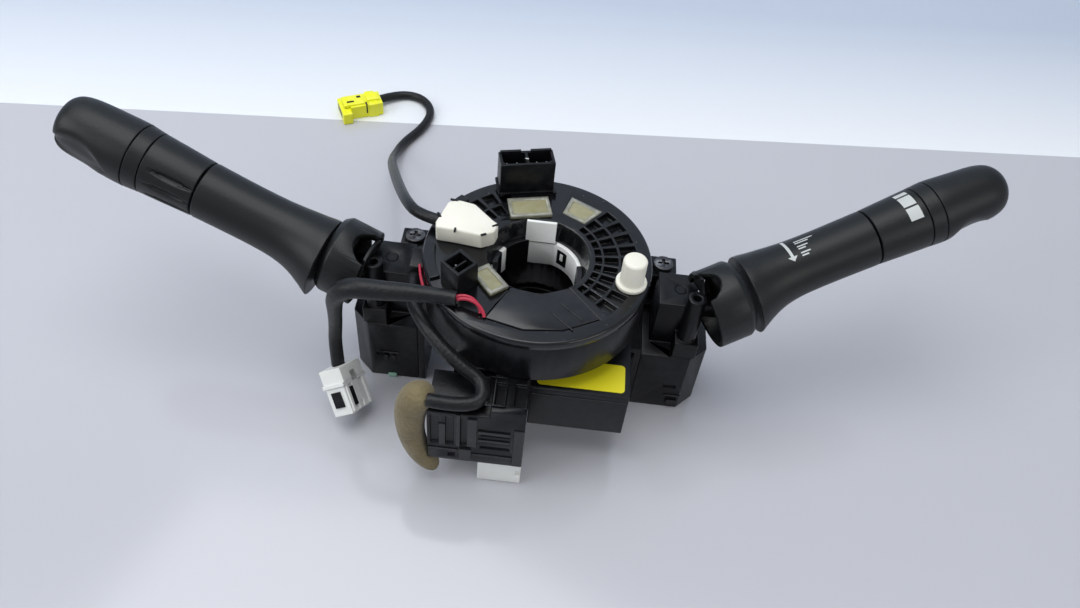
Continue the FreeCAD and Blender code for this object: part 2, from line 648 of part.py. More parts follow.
def gear_shape(teeth, phase, bore):
    """Spur gear with involute flanks; phase turns it, in degrees."""
    module = float(S.gear_module)
    pitch_radius = module * teeth / 2
    pressure = math.radians(20)
    base_radius = pitch_radius * math.cos(pressure)
    tip, root = pitch_radius + module, pitch_radius - 1.25 * module
    thickness = math.pi * module / 2 - float(S.tooth_backlash)
    half_angle = thickness / (2 * pitch_radius) + math.tan(pressure) - pressure
    low = max(root + 0.1 * module, base_radius)
    flank = tooth_flank(base_radius, low, tip, half_angle, 1)
    edges, last = [], None
    for tooth in range(teeth):
        turn = about_z(phase + 360 * tooth / teeth)
        right = [turn.multVec(V(point.x, -point.y)) for point in flank]
        left = [turn.multVec(point) for point in flank]
        root_right = V(right[0]).normalize() * root
        root_left = V(left[0]).normalize() * root
        if last is not None:
            edges.append(Part.makeLine(last, root_right))
        else:
            first = root_right
        curve_right, curve_left = Part.BSplineCurve(), Part.BSplineCurve()
        curve_right.interpolate(right)
        curve_left.interpolate(left[::-1])
        edges += [Part.makeLine(root_right, right[0]), curve_right.toShape(),
                  Part.makeLine(right[-1], left[-1]), curve_left.toShape(),
                  Part.makeLine(left[0], root_left)]
        last = root_left
    edges.append(Part.makeLine(last, first))
    rim = Part.Wire(edges)
    face = Part.Face(rim).cut(Part.Face(Part.Wire(Part.makeCircle(bore))))
    return face.extrude(V(0, 0, float(S.gear_face)))


def gear_centre(teeth, azimuth):
    """Centre of a measuring gear that meshes with the rotor's gear."""
    distance = S.gear_module * (S.drive_teeth + teeth) / 2
    return distance * cosine(azimuth), distance * sine(azimuth)


def mesh_phase(teeth, azimuth):
    """Turn that sets a gap of the small gear on a tooth of the rotor's gear."""
    rotor_phase = float(azimuth) * float(S.drive_teeth) / 360
    return float(azimuth) + 180 - (0.5 - rotor_phase) % 1 * 360 / float(teeth)


def sensor_gears():
    """Rotor gear and the two measuring gears, one tooth apart, each with its magnet."""
    ring = doc.addObject("Part::Feature", "drive_gear")
    ring.Shape = gear_shape(int(S.drive_teeth), 0, float(S.hub_bore + S.hub_wall))
    at(ring, 0, 0, S.gear_bottom)
    keep(ring, "drive_gear")
    for name, teeth, azimuth in (("first", S.first_teeth, S.first_azimuth),
                                 ("second", S.second_teeth, S.second_azimuth)):
        x, y = gear_centre(teeth, azimuth)
        gear = doc.addObject("Part::Feature", f"{name}_measuring_gear")
        gear.Shape = gear_shape(int(teeth), mesh_phase(teeth, azimuth), float(S.gear_bore))
        at(gear, x, y, S.gear_bottom)
        keep(gear, f"{name}_measuring_gear")


def sensor_plan(body, z, shrink):
    """Sketch of the sensor's outline: a ring and a box, made smaller by shrink."""
    return rectangle(sketch_on(body, offset=z), S.box_left + shrink, S.box_right - shrink,
                     S.box_front + shrink, Size(0) - shrink)


def sensor_housing():
    """Ring tray with the deep box at its front, and posts for the gears."""
    body = new_body("sensor_housing")
    floor_top = S.sensor_floor + S.sensor_floor_thick
    rim = S.sensor_top - S.sensor_cover_thick
    wall = S.sensor_wall
    pad(body, circle(sketch_on(body, offset=S.sensor_floor), S.sensor_ring_radius),
        rim - S.sensor_floor)
    pad(body, sensor_plan(body, S.sensor_floor, Size(0)), rim - S.sensor_floor)
    deep = rectangle(sketch_on(body, offset=S.box_bottom), S.box_left, S.box_right,
                     S.box_front, S.box_back)
    pad(body, deep, S.sensor_floor - S.box_bottom)
    pocket(body, circle(sketch_on(body, offset=rim), S.sensor_ring_radius - wall),
           rim - floor_top)
    pocket(body, sensor_plan(body, rim, wall), rim - floor_top)
    sketch = rectangle(sketch_on(body, offset=floor_top), S.box_left + wall, S.box_right - wall,
                       S.box_front + wall, S.box_back - wall)
    pocket(body, sketch, floor_top - S.box_bottom - wall)
    pocket(body, circle(sketch_on(body, offset=rim), S.sensor_bore), rim - S.sensor_floor)
    x, y = gear_centre(S.second_teeth, S.second_azimuth)
    pad(body, circle(sketch_on(body, offset=S.sensor_floor), S.gear_post, x, y),
        S.gear_bottom + S.gear_face - S.sensor_floor)


def sensor_cover():
    """Flat lid over the gears."""
    body = new_body("sensor_cover")
    base = S.sensor_top - S.sensor_cover_thick
    pad(body, circle(sketch_on(body, offset=base), S.sensor_ring_radius), S.sensor_cover_thick)
    pad(body, sensor_plan(body, base, Size(0)), S.sensor_cover_thick)
    pocket(body, circle(sketch_on(body, offset=S.sensor_top), S.sensor_bore),
           S.sensor_cover_thick)


def sensor_board():
    """Circuit board in the deep box, with the post of the first gear on it."""
    wall = S.sensor_wall + S.insert_gap
    body = new_body("sensor_board")
    z = S.gear_bottom - S.board_gap
    sketch = rectangle(sketch_on(body, offset=z), S.box_left + wall, S.box_right - wall,
                       S.box_front + wall, S.box_back - wall - S.insert_gap)
    pad(body, sketch, S.board_thick)
    x, y = gear_centre(S.first_teeth, S.first_azimuth)
    pad(body, circle(sketch_on(body, offset=z), S.gear_post, x, y),
        S.gear_bottom + S.gear_face - z)


def sensor_label():
    """Bare label on the box's top."""
    left = S.box_left + (S.box_right - S.box_left - S.label_width) / 2
    front = S.box_front + S.sensor_wall
    keep(box("sensor_label", (left, front, S.sensor_top),
             (left + S.label_width, front + S.label_depth, S.sensor_top + S.label_thick)),
         "sensor_label")


# Connector block at the front
def connector_block():
    """Black shroud with its mouths downwards, hung from the case by an arm."""
    body = new_body("connector_block")
    height = S.block_top - S.block_bottom
    sketch = rectangle(sketch_on(body, offset=S.block_bottom), S.block_left, S.block_right,
                       S.block_front, S.block_back)
    pad(body, sketch, height)
    sketch = rectangle(sketch_on(body, offset=S.arm_bottom), S.arm_left, S.arm_right,
                       S.block_back - S.block_rib, S.arm_back)
    pad(body, sketch, S.case_bottom - S.arm_bottom)
    step_top = S.block_top + S.block_step
    sketch = rectangle(sketch_on(body, offset=S.block_top), S.block_step_left, S.block_right,
                       S.block_front, S.block_back)
    pad(body, sketch, S.block_step)
    for left in (S.block_step_left + S.block_rib, S.block_right - S.block_rib - S.panel_width):
        sketch = rectangle(sketch_on(body, offset=step_top), left, left + S.panel_width,
                           S.block_front + 2 * S.mouth_wall,
                           S.block_front + 2 * S.mouth_wall + S.panel_length)
        pocket(body, sketch, S.groove_depth)
    wall, half = S.mouth_wall, S.mouth_wall / 2
    for left, right in ((S.block_left + wall, S.mouth_split - half),
                        (S.mouth_split + half, S.block_right - wall)):
        sketch = rectangle(sketch_on(body, offset=S.block_bottom), left, right,
                           S.block_front + wall, S.block_back - wall)
        pocket(body, sketch, height - S.mouth_roof, up=True)
    for index in range(int(S.groove_count)):
        left = S.groove_left + index * S.groove_pitch
        sketch = sketch_on(body, "XZ_Plane", -S.block_front)
        rectangle(sketch, left, left + S.groove_width, S.groove_bottom, S.groove_top)
        pocket(body, sketch, S.groove_depth)
        low = S.slot_low + index * S.slot_pitch
        sketch = sketch_on(body, "XZ_Plane", -S.block_front)
        rectangle(sketch, S.slot_left, S.slot_right, low, low + S.slot_height)
        pocket(body, sketch, S.groove_depth)
    sketch = sketch_on(body, "XZ_Plane", -S.block_front)
    rectangle(sketch, S.latch_left, S.latch_left + S.latch_size,
              S.latch_low, S.latch_low + S.latch_size)
    pocket(body, sketch, S.groove_depth)


def connector_inserts():
    """White plug in the right mouth, white insert in the left one, and terminals."""
    wall = S.mouth_wall + S.insert_gap
    half = S.mouth_wall / 2 + S.insert_gap
    roof = S.block_top - S.mouth_roof
    front, back = S.block_front + wall, S.block_back - wall
    bottom = S.block_bottom - S.white_drop
    plug = box("white_plug_blank", (S.mouth_split + half, front, bottom),
               (S.block_right - wall, back, roof))
    flange = box("white_plug_flange", (S.mouth_split, front, bottom),
                 (S.block_right, back, S.block_bottom - S.insert_gap))
    low = bottom + S.white_drop / 3
    notch = box("white_plug_notch", (S.block_right - wall, front, low),
                (S.block_right, front + S.mouth_wall, low + S.mouth_wall * 2))
    keep(cut("white_connector", fuse("white_plug_whole", [plug, flange]), notch),
         "white_connector")
    keep(box("white_insert", (S.block_left + wall, front, S.block_bottom - S.block_rib),
             (S.mouth_split - half, back, roof)), "white_insert")


# Switch housings, one on each side
def switch_housing(side):
    """Lower block, shelf, tower with the lever's window, and a hollow screw boss."""
    name = SIDE_NAMES[side]
    body = new_body(f"{name}_switch_housing")
    outline = [(side * x, y) for x, y in (
        (S.housing_inner, S.housing_front), (S.housing_bevel, S.housing_front),
        (S.housing_outer, S.housing_bevel_y), (S.housing_outer, S.housing_back - S.catch_width),
        (S.housing_back_bevel, S.housing_back), (S.housing_inner, S.housing_back))]
    pad(body, polygon(sketch_on(body), outline), S.deck_bottom)
    sketch = sketch_on(body, offset=S.deck_bottom)
    tower_inner, tower_outer = S.pivot_x - S.tower_inward, S.pivot_x + S.tower_outward
    span = sorted((side * tower_inner, side * tower_outer), key=float)
    pad(body, rectangle(sketch, *span, S.tower_front, S.tower_back), S.tower_top - S.deck_bottom)
    sketch = sketch_on(body, offset=S.deck_bottom)
    span = sorted((side * S.shelf_inner, side * S.shelf_outer), key=float)
    pad(body, rectangle(sketch, *span, S.shelf_front, S.tower_front),
        S.shelf_top - S.deck_bottom)
    sketch = circle(sketch_on(body, offset=S.deck_bottom), S.boss_radius,
                    side * S.boss_x, S.boss_y)
    pad(body, sketch, S.boss_top - S.deck_bottom)
    sketch = circle(sketch_on(body, offset=S.boss_top), S.boss_hole_radius,
                    side * S.boss_x, S.boss_y)
    pocket(body, sketch, S.boss_hole_depth)
    span = sorted((side * (tower_inner + S.tower_wall), side * (tower_outer + S.tower_wall)),
                  key=float)
    sketch = rectangle(sketch_on(body, offset=S.tower_floor), *span,
                       S.tower_front + S.tower_wall, S.tower_back - S.tower_wall)
    pocket(body, sketch, S.tower_top - S.tower_roof - S.tower_floor, up=True)
    for top in (S.tower_top, S.tower_floor):
        sketch = circle(sketch_on(body, offset=top), S.stub_radius + S.running_gap,
                        side * S.pivot_x, S.pivot_y)
        pocket(body, sketch, S.tower_roof)
    sketch = sketch_on(body, "XZ_Plane", -S.housing_front)
    span = sorted((side * S.catch_x, side * (S.catch_x + S.catch_width)), key=float)
    pocket(body, rectangle(sketch, *span, S.catch_z, S.catch_z + S.catch_height), S.catch_depth)


def yoke_root():
    """Inner end of the yoke, clear of the tower's wall."""
    return S.pivot_x - S.tower_inward + S.tower_wall + S.yoke_gap


def yoke(side):
    """Block that turns in the tower and carries the lever's flash pin."""
    name = SIDE_NAMES[side]
    body = new_body(f"{name}_yoke")
    tip = S.pivot_x + S.yoke_outward
    span = sorted((side * yoke_root(), side * tip), key=float)
    front, back = S.pivot_y - S.yoke_half, S.pivot_y + S.yoke_half
    sketch = rectangle(sketch_on(body, offset=S.yoke_bottom), *span, front, back)
    pad(body, sketch, S.yoke_top - S.yoke_bottom)
    low = S.tower_floor - S.tower_roof
    sketch = circle(sketch_on(body, offset=low), S.stub_radius, side * S.pivot_x, S.pivot_y)
    pad(body, sketch, S.tower_top - low)
    slot = S.stem_half_width + S.stem_gap
    reach = S.stem_half_height + S.stem_gap + S.flash_pin_radius
    span = sorted((side * yoke_root(), side * tip), key=float)
    sketch = rectangle(sketch_on(body, offset=S.pivot_z - reach), *span,
                       S.pivot_y - slot, S.pivot_y + slot)
    pocket(body, sketch, 2 * reach, up=True)
    sketch = sketch_on(body, "XZ_Plane", -S.pivot_y + S.yoke_half)
    circle(sketch, S.flash_pin_radius, side * S.pivot_x, S.pivot_z)
    pocket(body, sketch, 2 * S.yoke_half)
    along_y = FreeCAD.Rotation(V(1, 0, 0), -90)
    keep(cylinder(f"{name}_flash_pin", S.flash_pin_radius, 2 * S.yoke_half,
                  side * S.pivot_x, front, S.pivot_z, along_y), f"{name}_flash_pin")


# Levers
class LeverAxis:
    """Frame of one lever: u runs out along it, from a point inside its neck."""

    def __init__(self, side, y=None):
        self.side, self.name = side, SIDE_NAMES[side]
        self.sweep = self.size("sweep")
        azimuth = float(self.sweep) if side == RIGHT else 180 - float(self.sweep)
        rise = FreeCAD.Rotation(V(0, 1, 0), -float(S.lever_rise))
        self.rotation = about_z(azimuth).multiply(rise)
        self.y = self.size("lever_y") if y is None else y
        self.root = V(side * float(S.lever_x), float(self.y), float(S.lever_z))

    def size(self, alias):
        """Size of this lever from the sheet."""
        return getattr(S, f"{self.name}_{alias}")

    def at(self, distance, shift=0):
        """Placement whose x axis runs along the lever, shifted down and forwards."""
        step = float(shift)
        offset = self.rotation.multVec(V(float(distance), -self.side * step, -step))
        return FreeCAD.Placement(self.root + offset, self.rotation)

    def loft(self, label, stations, ruled=False):
        """Skin through circles, each given as u, radius and shift."""
        across = FreeCAD.Rotation(V(0, 1, 0), V(0, 0, 1), V(1, 0, 0), "XYZ")
        rings = []
        for u, half, shift in stations:
            ring = doc.addObject("Part::Circle", label + "_section")
            bind(ring, "Radius", half)
            spot = self.at(u, shift)
            ring.Placement = FreeCAD.Placement(spot.Base, spot.Rotation.multiply(across))
            rings.append(ring)
        skin = doc.addObject("Part::Loft", label + "_skin")
        skin.Sections = rings
        skin.Solid = True
        skin.Ruled = ruled
        return skin

    def rod(self, label, radius, start, end):
        """Round rod along the lever."""
        bar = doc.addObject("Part::Cylinder", label)
        bind(bar, "Radius", radius)
        bind(bar, "Height", end - start)
        spot = self.at(start)
        spot.Rotation = spot.Rotation.multiply(FreeCAD.Rotation(V(0, 1, 0), 90))
        bar.Placement = spot
        return bar


def neck(axis):
    """Hollow root of the lever with its web, and the stem that reaches the flash pin."""
    side = axis.side
    root = LeverAxis(side, S.neck_y)
    half, inside = S.neck_half, S.neck_half - S.neck_wall
    outer = root.loft("neck_outer", [
        (S.neck_start, half, 0), (S.neck_shoulder, half, 0),
        (S.neck_end, half - S.neck_bevel, 0)], ruled=True)
    hollow_in = root.loft("neck_inside", [
        (S.neck_start - 1, inside, 0), (-S.neck_web, inside, 0)])
    mouth = inside - S.neck_bevel
    hollow_out = root.loft("neck_mouth", [(Size(0), mouth, 0), (S.neck_end + 1, mouth, 0)])
    relief = cylinder("neck_relief", S.relief_radius, S.boss_top, side * S.boss_x, S.boss_y,
                      S.deck_bottom)
    inner = sorted((side * S.pivot_x, side * S.neck_inner_x), key=float)
    face = box("neck_face", (inner[0], S.housing_front * 3, S.tower_floor),
               (inner[1], S.housing_back * 2, S.tower_top + S.neck_over_tower))
    shell = cut("neck_shell", outer, fuse("neck_hollow", [hollow_in, hollow_out, relief, face]))
    reach = sorted((side * (yoke_root() + S.flash_pin_radius), side * S.stem_end), key=float)
    half, tall = S.stem_half_width, S.stem_half_height
    stem = box("stem_bar", (reach[0], S.pivot_y - half, S.pivot_z - tall),
               (reach[1], S.pivot_y + half, S.pivot_z + tall))
    along_y = FreeCAD.Rotation(V(1, 0, 0), -90)
    hole = cylinder("stem_hole", S.flash_pin_radius + S.running_gap, 2 * half,
                    side * S.pivot_x, S.pivot_y - half, S.pivot_z, along_y)
    bored = cut("stem", stem, hole)
    keep(fuse(f"{axis.name}_neck", [shell, bored]), f"{axis.name}_neck")


def lever_body(axis):
    """Handle with its flared foot, the spigot on the neck's web and the ring's spindle."""
    ring_start, ring_end = axis.size("ring_start"), axis.size("ring_end")
    skin = axis.loft("lever", [
        (S.lever_start, S.flare_half, S.flare_shift),
        (S.throat_u, S.throat_half, S.throat_shift),
        (S.shoulder_u, S.shoulder_half, S.shoulder_shift),
        (S.waist_u, S.waist_half, 0),
        (ring_start - S.part_gap, S.ring_half, 0)])
    seat = (S.neck_y - axis.y) * cosine(S.lever_rise) * sine(axis.sweep)
    spigot = axis.rod("lever_spigot", S.root_spigot_radius, seat, S.lever_start + S.neck_wall)
    spindle = axis.rod("lever_spindle", S.spindle_radius, ring_start - S.neck_wall, ring_end)
    keep(fuse(f"{axis.name}_lever", [skin, spigot, spindle]), f"{axis.name}_lever")


def lever_band(axis):
    """Fixed band between the ring and the knob, with the knob's spindle."""
    ring_end, band_end = axis.size("ring_end"), axis.size("band_end")
    skin = axis.loft("band", [(ring_end, S.band_half, 0), (band_end, S.knob_half, 0)])
    spindle = axis.rod("band_spindle", S.knob_spindle_radius, band_end - S.neck_wall,
                       band_end + S.knob_spindle_length)
    keep(fuse(f"{axis.name}_band", [skin, spindle]), f"{axis.name}_band")


def lever_ring(axis):
    """Twist ring that turns on the lever's spindle."""
    gap = S.part_gap / 2
    ring_start, ring_end = axis.size("ring_start"), axis.size("ring_end")
    skin = axis.loft("ring", [(ring_start + gap, S.ring_half, 0),
                              (ring_end - gap, S.band_half, 0)])
    bore = axis.rod("ring_bore", S.spindle_radius + S.running_gap, ring_start - 1, ring_end + 1)
    keep(cut(f"{axis.name}_ring", skin, bore), f"{axis.name}_ring")


def lever_knob(axis):
    """Rounded end knob that turns on the band's spindle."""
    start, tip = axis.size("band_end") + S.part_gap / 2, axis.size("tip")
    length = tip - start
    skin = axis.loft("knob", [
        (start, S.knob_half, 0),
        (start + length * 0.22, S.knob_body_half, -S.knob_lift / 2),
        (start + length * 0.5, S.knob_waist_half, -S.knob_lift),
        (start + length * 0.78, S.knob_front_half, -S.knob_lift / 2),
        (start + length * 0.94, S.tip_half, 0),
        (tip, S.knob_end_half, 0)])
    bore = axis.rod("knob_bore", S.knob_spindle_radius + S.running_gap, start - 1,
                    axis.size("band_end") + S.knob_spindle_length + S.part_gap)
    keep(cut(f"{axis.name}_knob", skin, bore), f"{axis.name}_knob")


# Leads
def beside_case(bearing, gap, height):
    """Route point at a bearing, a gap outside the case's wall."""
    reach = float(S.case_radius) + gap
    angle = math.radians(bearing)
    return reach * math.cos(angle), reach * math.sin(angle), height


STATOR_ROUTE = [beside_case(189.57, 4.24, 70), beside_case(200.75, 7.16, 70),
                beside_case(214.25, 7.56, 70.5), beside_case(230.39, 7.16, 66.5),
                beside_case(243.43, 6.60, 62), beside_case(252.37, 6.84, 59.5),
                (-15.5, -62.5, 58), (-25.5, -66, 57.6), (-38.2, -64.5, 57.3)]
AIRBAG_ROUTE = [(-44.5, 9.1, 88), (-54.5, 11.8, 87.8), (-61.5, 22.5, 84.5), (-68.5, 42, 74),
                (-77, 70, 57.5), (-85.5, 101, 38), (-91.5, 129, 18), (-94, 149, 5.5),
                (-92, 164, 2.7), (-83, 180, 2.7), (-79.5, 198, 2.7), (-88.5, 211.5, 2.7),
                (-104, 213, 2.7), (-115, 202.5, 4.2)]
WHEEL_ROUTE = [(-31, -34.5, 87.4), (-46, -33.5, 87), (-62, -32.8, 85), (-73, -32.2, 84.5),
               (-79.6, -31.6, 81), (-83.2, -29.8, 73), (-84.8, -26.4, 61),
               (-86.6, -22.4, 47), (-88.2, -22, 34), (-86.5, -26.7, 23.6)]
WHEEL_WIRES_START = (-19.6, -38.4, 83.4)


def lead(label, route, radius):
    """Round lead along straight runs joined by tangent arcs."""
    points = [V(*spot) for spot in route]
    edges, here, shortest = [], points[0], None
    for before, corner, after in zip(points, points[1:], points[2:]):
        back, ahead = before - corner, after - corner
        turn = math.pi - back.getAngle(ahead)
        short = min(back.Length, ahead.Length)
        bend = 0.45 * short / math.tan(turn / 2)
        shortest = bend if shortest is None else min(shortest, bend)
        reach = 0.45 * short
        start = corner + V(back).normalize() * reach
        end = corner + V(ahead).normalize() * reach
        bisector = (V(back).normalize() + V(ahead).normalize()).normalize()
        centre = corner + bisector * (bend / math.cos(turn / 2))
        middle = centre - bisector * bend
        edges.append(Part.LineSegment(here, start).toShape())
        edges.append(Part.Arc(start, middle, end).toShape())
        here = end
    edges.append(Part.LineSegment(here, points[-1]).toShape())
    path = Part.Wire(edges)
    tangent = (points[1] - points[0]).normalize()
    section = Part.Wire(Part.makeCircle(float(radius), points[0], tangent))
    tube = path.makePipeShell([section], True, False, 2)
    volume = math.pi * float(radius) ** 2 * path.Length
    print(f"{label}: length {path.Length:.1f}, smallest bend {shortest:.1f}, "
          f"volume over expected {tube.Volume / volume:.4f}")
    item = doc.addObject("Part::Feature", label)
    item.Shape = tube
    keep(item, label)


def airbag_plug():
    """Yellow plug on the end of the airbag lead, with a hood across its far end."""
    x, y, _ = AIRBAG_ROUTE[-1]
    length, width, offset = S.yellow_plug_length, S.yellow_plug_width, S.yellow_plug_offset
    hood = length - S.yellow_hood_length
    outline = [(Size(0), offset), (length, offset), (length, offset + width + S.yellow_hood_reach),
               (hood, offset + width + S.yellow_hood_reach), (hood, offset + width),
               (Size(0), offset + width)]
    body = new_body("airbag_plug")
    sketch = polygon(sketch_on(body), turned(outline, x, y, S.yellow_plug_heading))
    pad(body, sketch, S.yellow_plug_height)


def wheel_plug():
    """White plug on the end of the wheel switch lead, leaning on the table."""
    end = V(*WHEEL_ROUTE[-1])
    along = V(0.4145, -0.5808, -0.7003).normalize()
    across = V(-0.842, 0.0347, -0.539)
    across = (across - along * across.dot(along)).normalize()
    turn = FreeCAD.Rotation(across, along.cross(across), along, "ZXY")
    half_w, half_d = S.white_plug_width / 2, S.white_plug_depth / 2
    wall, length = S.socket_wall, S.white_plug_length
    shell = box("wheel_plug_shell", (-half_w, -half_d, Size(0)), (half_w, half_d, length))
    hollow = box("wheel_plug_hollow", (-half_w + wall, -half_d + wall, length / 2),
                 (half_w - wall, half_d - wall, length))
    plug = cut("wheel_plug", shell, hollow)
    plug.Placement = FreeCAD.Placement(end + along * float(S.running_gap), turn)
    keep(plug, "wheel_plug")


def wheel_wires():
    """Two short wires between the rotor's lid and the sheath."""
    start, end = V(*WHEEL_WIRES_START), V(*WHEEL_ROUTE[0])
    wires = []
    for step in (-1, 1):
        bow = V(step * 0.9, -step * 0.9, 0)
        middle = (start + end) * 0.5 + V(-0.5, 2.4, 2.5) + bow
        arc = Part.Arc(start + bow, middle, end + bow * 0.6).toShape()
        tangent = arc.tangentAt(arc.FirstParameter)
        circle_edge = Part.makeCircle(float(S.wheel_wire_radius), start + bow, tangent)
        wires.append(Part.Wire([arc]).makePipeShell([Part.Wire(circle_edge)], True, False, 2))
    item = doc.addObject("Part::Feature", "wheel_wires")
    item.Shape = Part.makeCompound(wires)
    keep(item, "wheel_wires")


def foam_tape():
    """Crescent of brown foam tape from the stator lead's end down round the block's side."""
    seat = S.block_left - S.tape_gap
    outer = [(seat, S.tape_top), (seat - S.tape_bulge, S.tape_middle),
             (seat + S.tape_tuck, S.tape_bottom)]
    inner = [(seat, S.tape_foot), (seat - S.tape_bulge + S.tape_thick, S.tape_middle),
             (seat, S.tape_lip)]
    outer, inner = ([V(float(x), 0, float(z)) for x, z in line] for line in (outer, inner))
    edges = [Part.Arc(*outer).toShape(), Part.makeLine(outer[-1], inner[0]),
             Part.Arc(*inner).toShape(), Part.makeLine(inner[-1], outer[0])]
    item = doc.addObject("Part::Feature", "foam_tape")
    item.Shape = Part.Face(Part.Wire(edges)).extrude(V(0, float(S.tape_width), 0))
    at(item, 0, S.block_front + S.tape_gap * 2)
    keep(item, "foam_tape")


def build():
    """Make every sub-part."""
    switch_base()
    clamp_screw()
    spiral_case()
    case_screws()
    flat_cable()
    rotor()
    rotor_lid()
    top_socket()
    side_socket()
    turn_window()
    outlet_block()
    drive_pin()
    cancel_cam()
    sensor_gears()
    sensor_housing()
    sensor_cover()
    sensor_board()
    sensor_label()
    connector_block()
    connector_inserts()
    for side in (LEFT, RIGHT):
        switch_housing(side)
        yoke(side)
        axis = LeverAxis(side)
        neck(axis)
        lever_body(axis)
        lever_band(axis)
        lever_ring(axis)
        lever_knob(axis)
    lead("stator_lead", STATOR_ROUTE, S.stator_lead_radius)
    lead("airbag_lead", AIRBAG_ROUTE, S.airbag_lead_radius)
    lead("wheel_lead", WHEEL_ROUTE, S.wheel_lead_radius)
    airbag_plug()
    wheel_plug()
    wheel_wires()
    foam_tape()


def export():
    """Check every object, then write each sub-part to its own file."""
    doc.recompute()
    for item in doc.Objects:
        if "Invalid" in item.State or "Error" in item.State:
            raise RuntimeError(f"{item.Name} failed: {item.State}")
    os.makedirs("parts", exist_ok=True)
    for item in parts:
        shape = item.Shape
        if shape.isNull() or not shape.isValid():
            raise RuntimeError(f"{item.Label} has no valid shape")
        shape.exportStep(f"parts/{item.Label}.step")
        print(f"{item.Label}: {len(shape.Solids)} solid(s), {len(shape.Faces)} faces")


build()
export()
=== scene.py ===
"""Looks of a steering column switch unit: spiral cable, angle sensor, two levers and leads.

Sizes in the classes are millimetres in the frame's axes, and Maker writes its meshes in metres.
"""
from __future__ import annotations

import json
import logging
import math
from dataclasses import dataclass
from enum import Enum
from typing import Callable, Iterable, Sequence

import bmesh
import bpy
from mathutils import Matrix, Vector


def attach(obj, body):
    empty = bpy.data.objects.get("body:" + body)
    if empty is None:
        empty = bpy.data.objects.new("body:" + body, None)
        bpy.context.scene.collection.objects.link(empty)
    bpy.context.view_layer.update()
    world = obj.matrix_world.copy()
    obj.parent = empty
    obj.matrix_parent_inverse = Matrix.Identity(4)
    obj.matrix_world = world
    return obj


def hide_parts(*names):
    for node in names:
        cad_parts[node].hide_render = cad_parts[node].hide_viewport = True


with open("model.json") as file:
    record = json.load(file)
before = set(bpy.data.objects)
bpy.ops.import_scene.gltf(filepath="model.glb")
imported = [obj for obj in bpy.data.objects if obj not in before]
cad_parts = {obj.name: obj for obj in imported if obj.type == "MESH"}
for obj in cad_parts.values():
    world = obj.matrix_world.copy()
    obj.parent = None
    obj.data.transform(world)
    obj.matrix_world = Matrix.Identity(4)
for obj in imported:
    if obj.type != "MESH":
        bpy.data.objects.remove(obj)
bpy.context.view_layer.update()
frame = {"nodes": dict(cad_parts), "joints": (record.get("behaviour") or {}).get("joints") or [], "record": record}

MM = 0.001
SAME_POINT = 2e-6
FLAT_ANGLE = math.radians(1)
Point = Sequence[float]
Colour = tuple[float, float, float]
Join = tuple[bpy.types.Node, int | str, bpy.types.Node, int | str]
NODE_BODY = {node: body for body, nodes in frame["record"]["behaviour"]["bodies"].items()
             for node in nodes}
SLOT_OF = {row["node"]: row["material_slot"] for row in frame["record"]["subparts"]}
log = logging.getLogger("column_switch")


class Side(Enum):
    """The two sides of the unit, as the sign of their X."""

    LEFT = -1
    RIGHT = 1

    @property
    def word(self) -> str:
        """Name that the nodes of this side start with."""
        return self.name.lower()


class Bump(Enum):
    """Kinds of fine relief that a finish can have."""

    GRAIN = "grain"
    SMOOTH = "smooth"
    FOAM = "foam"


def add_node(tree: bpy.types.NodeTree, kind: str, **values: object) -> bpy.types.Node:
    """Add a node to a tree.

    Args:
        tree: the tree that gets the node.
        kind: the node's type.
        values: property names, or input names with underscores for spaces.

    Returns:
        The new node.
    """
    node = tree.nodes.new(kind)
    for key, value in values.items():
        if hasattr(node, key):
            setattr(node, key, value)
        else:
            node.inputs[key.replace("_", " ")].default_value = value
    return node


def join(tree: bpy.types.NodeTree, *joins: Join) -> None:
    """Join sockets of a tree.

    Args:
        tree: the tree.
        joins: a node, its output, the next node and its input, by name or number.
    """
    for source, output, target, entry in joins:
        tree.links.new(source.outputs[output], target.inputs[entry])


def new_tree(name: str, kind: str, inputs: dict[str, object], outputs: dict[str, str]
             ) -> tuple[bpy.types.NodeTree, bpy.types.Node, bpy.types.Node]:
    """Make a tree that has only its inputs and outputs.

    Args:
        name: the tree's name.
        kind: the tree's type.
        inputs: each input's name with its default, or with its socket type as a word.
        outputs: each output's name with its socket type as a word.

    Returns:
        The tree, the node that its inputs come from and the node that its outputs go to.
    """
    tree = bpy.data.node_groups.new(name, kind)
    for way, sockets in (("INPUT", inputs), ("OUTPUT", outputs)):
        for label, value in sockets.items():
            number = "Color" if isinstance(value, tuple) else "Float"
            word = value if isinstance(value, str) else number
            socket = tree.interface.new_socket(label, in_out=way,
                                               socket_type="NodeSocket" + word)
            if word != value:
                socket.default_value = value
    return tree, tree.nodes.new("NodeGroupInput"), tree.nodes.new("NodeGroupOutput")


def placed(name: str, data: bpy.types.ID) -> bpy.types.Object:
    """Put a new object in the scene.

    Args:
        name: the object's name.
        data: its mesh, curve, camera or lamp.

    Returns:
        The object.
    """
    item = bpy.data.objects.new(name, data)
    bpy.context.scene.collection.objects.link(item)
    return item


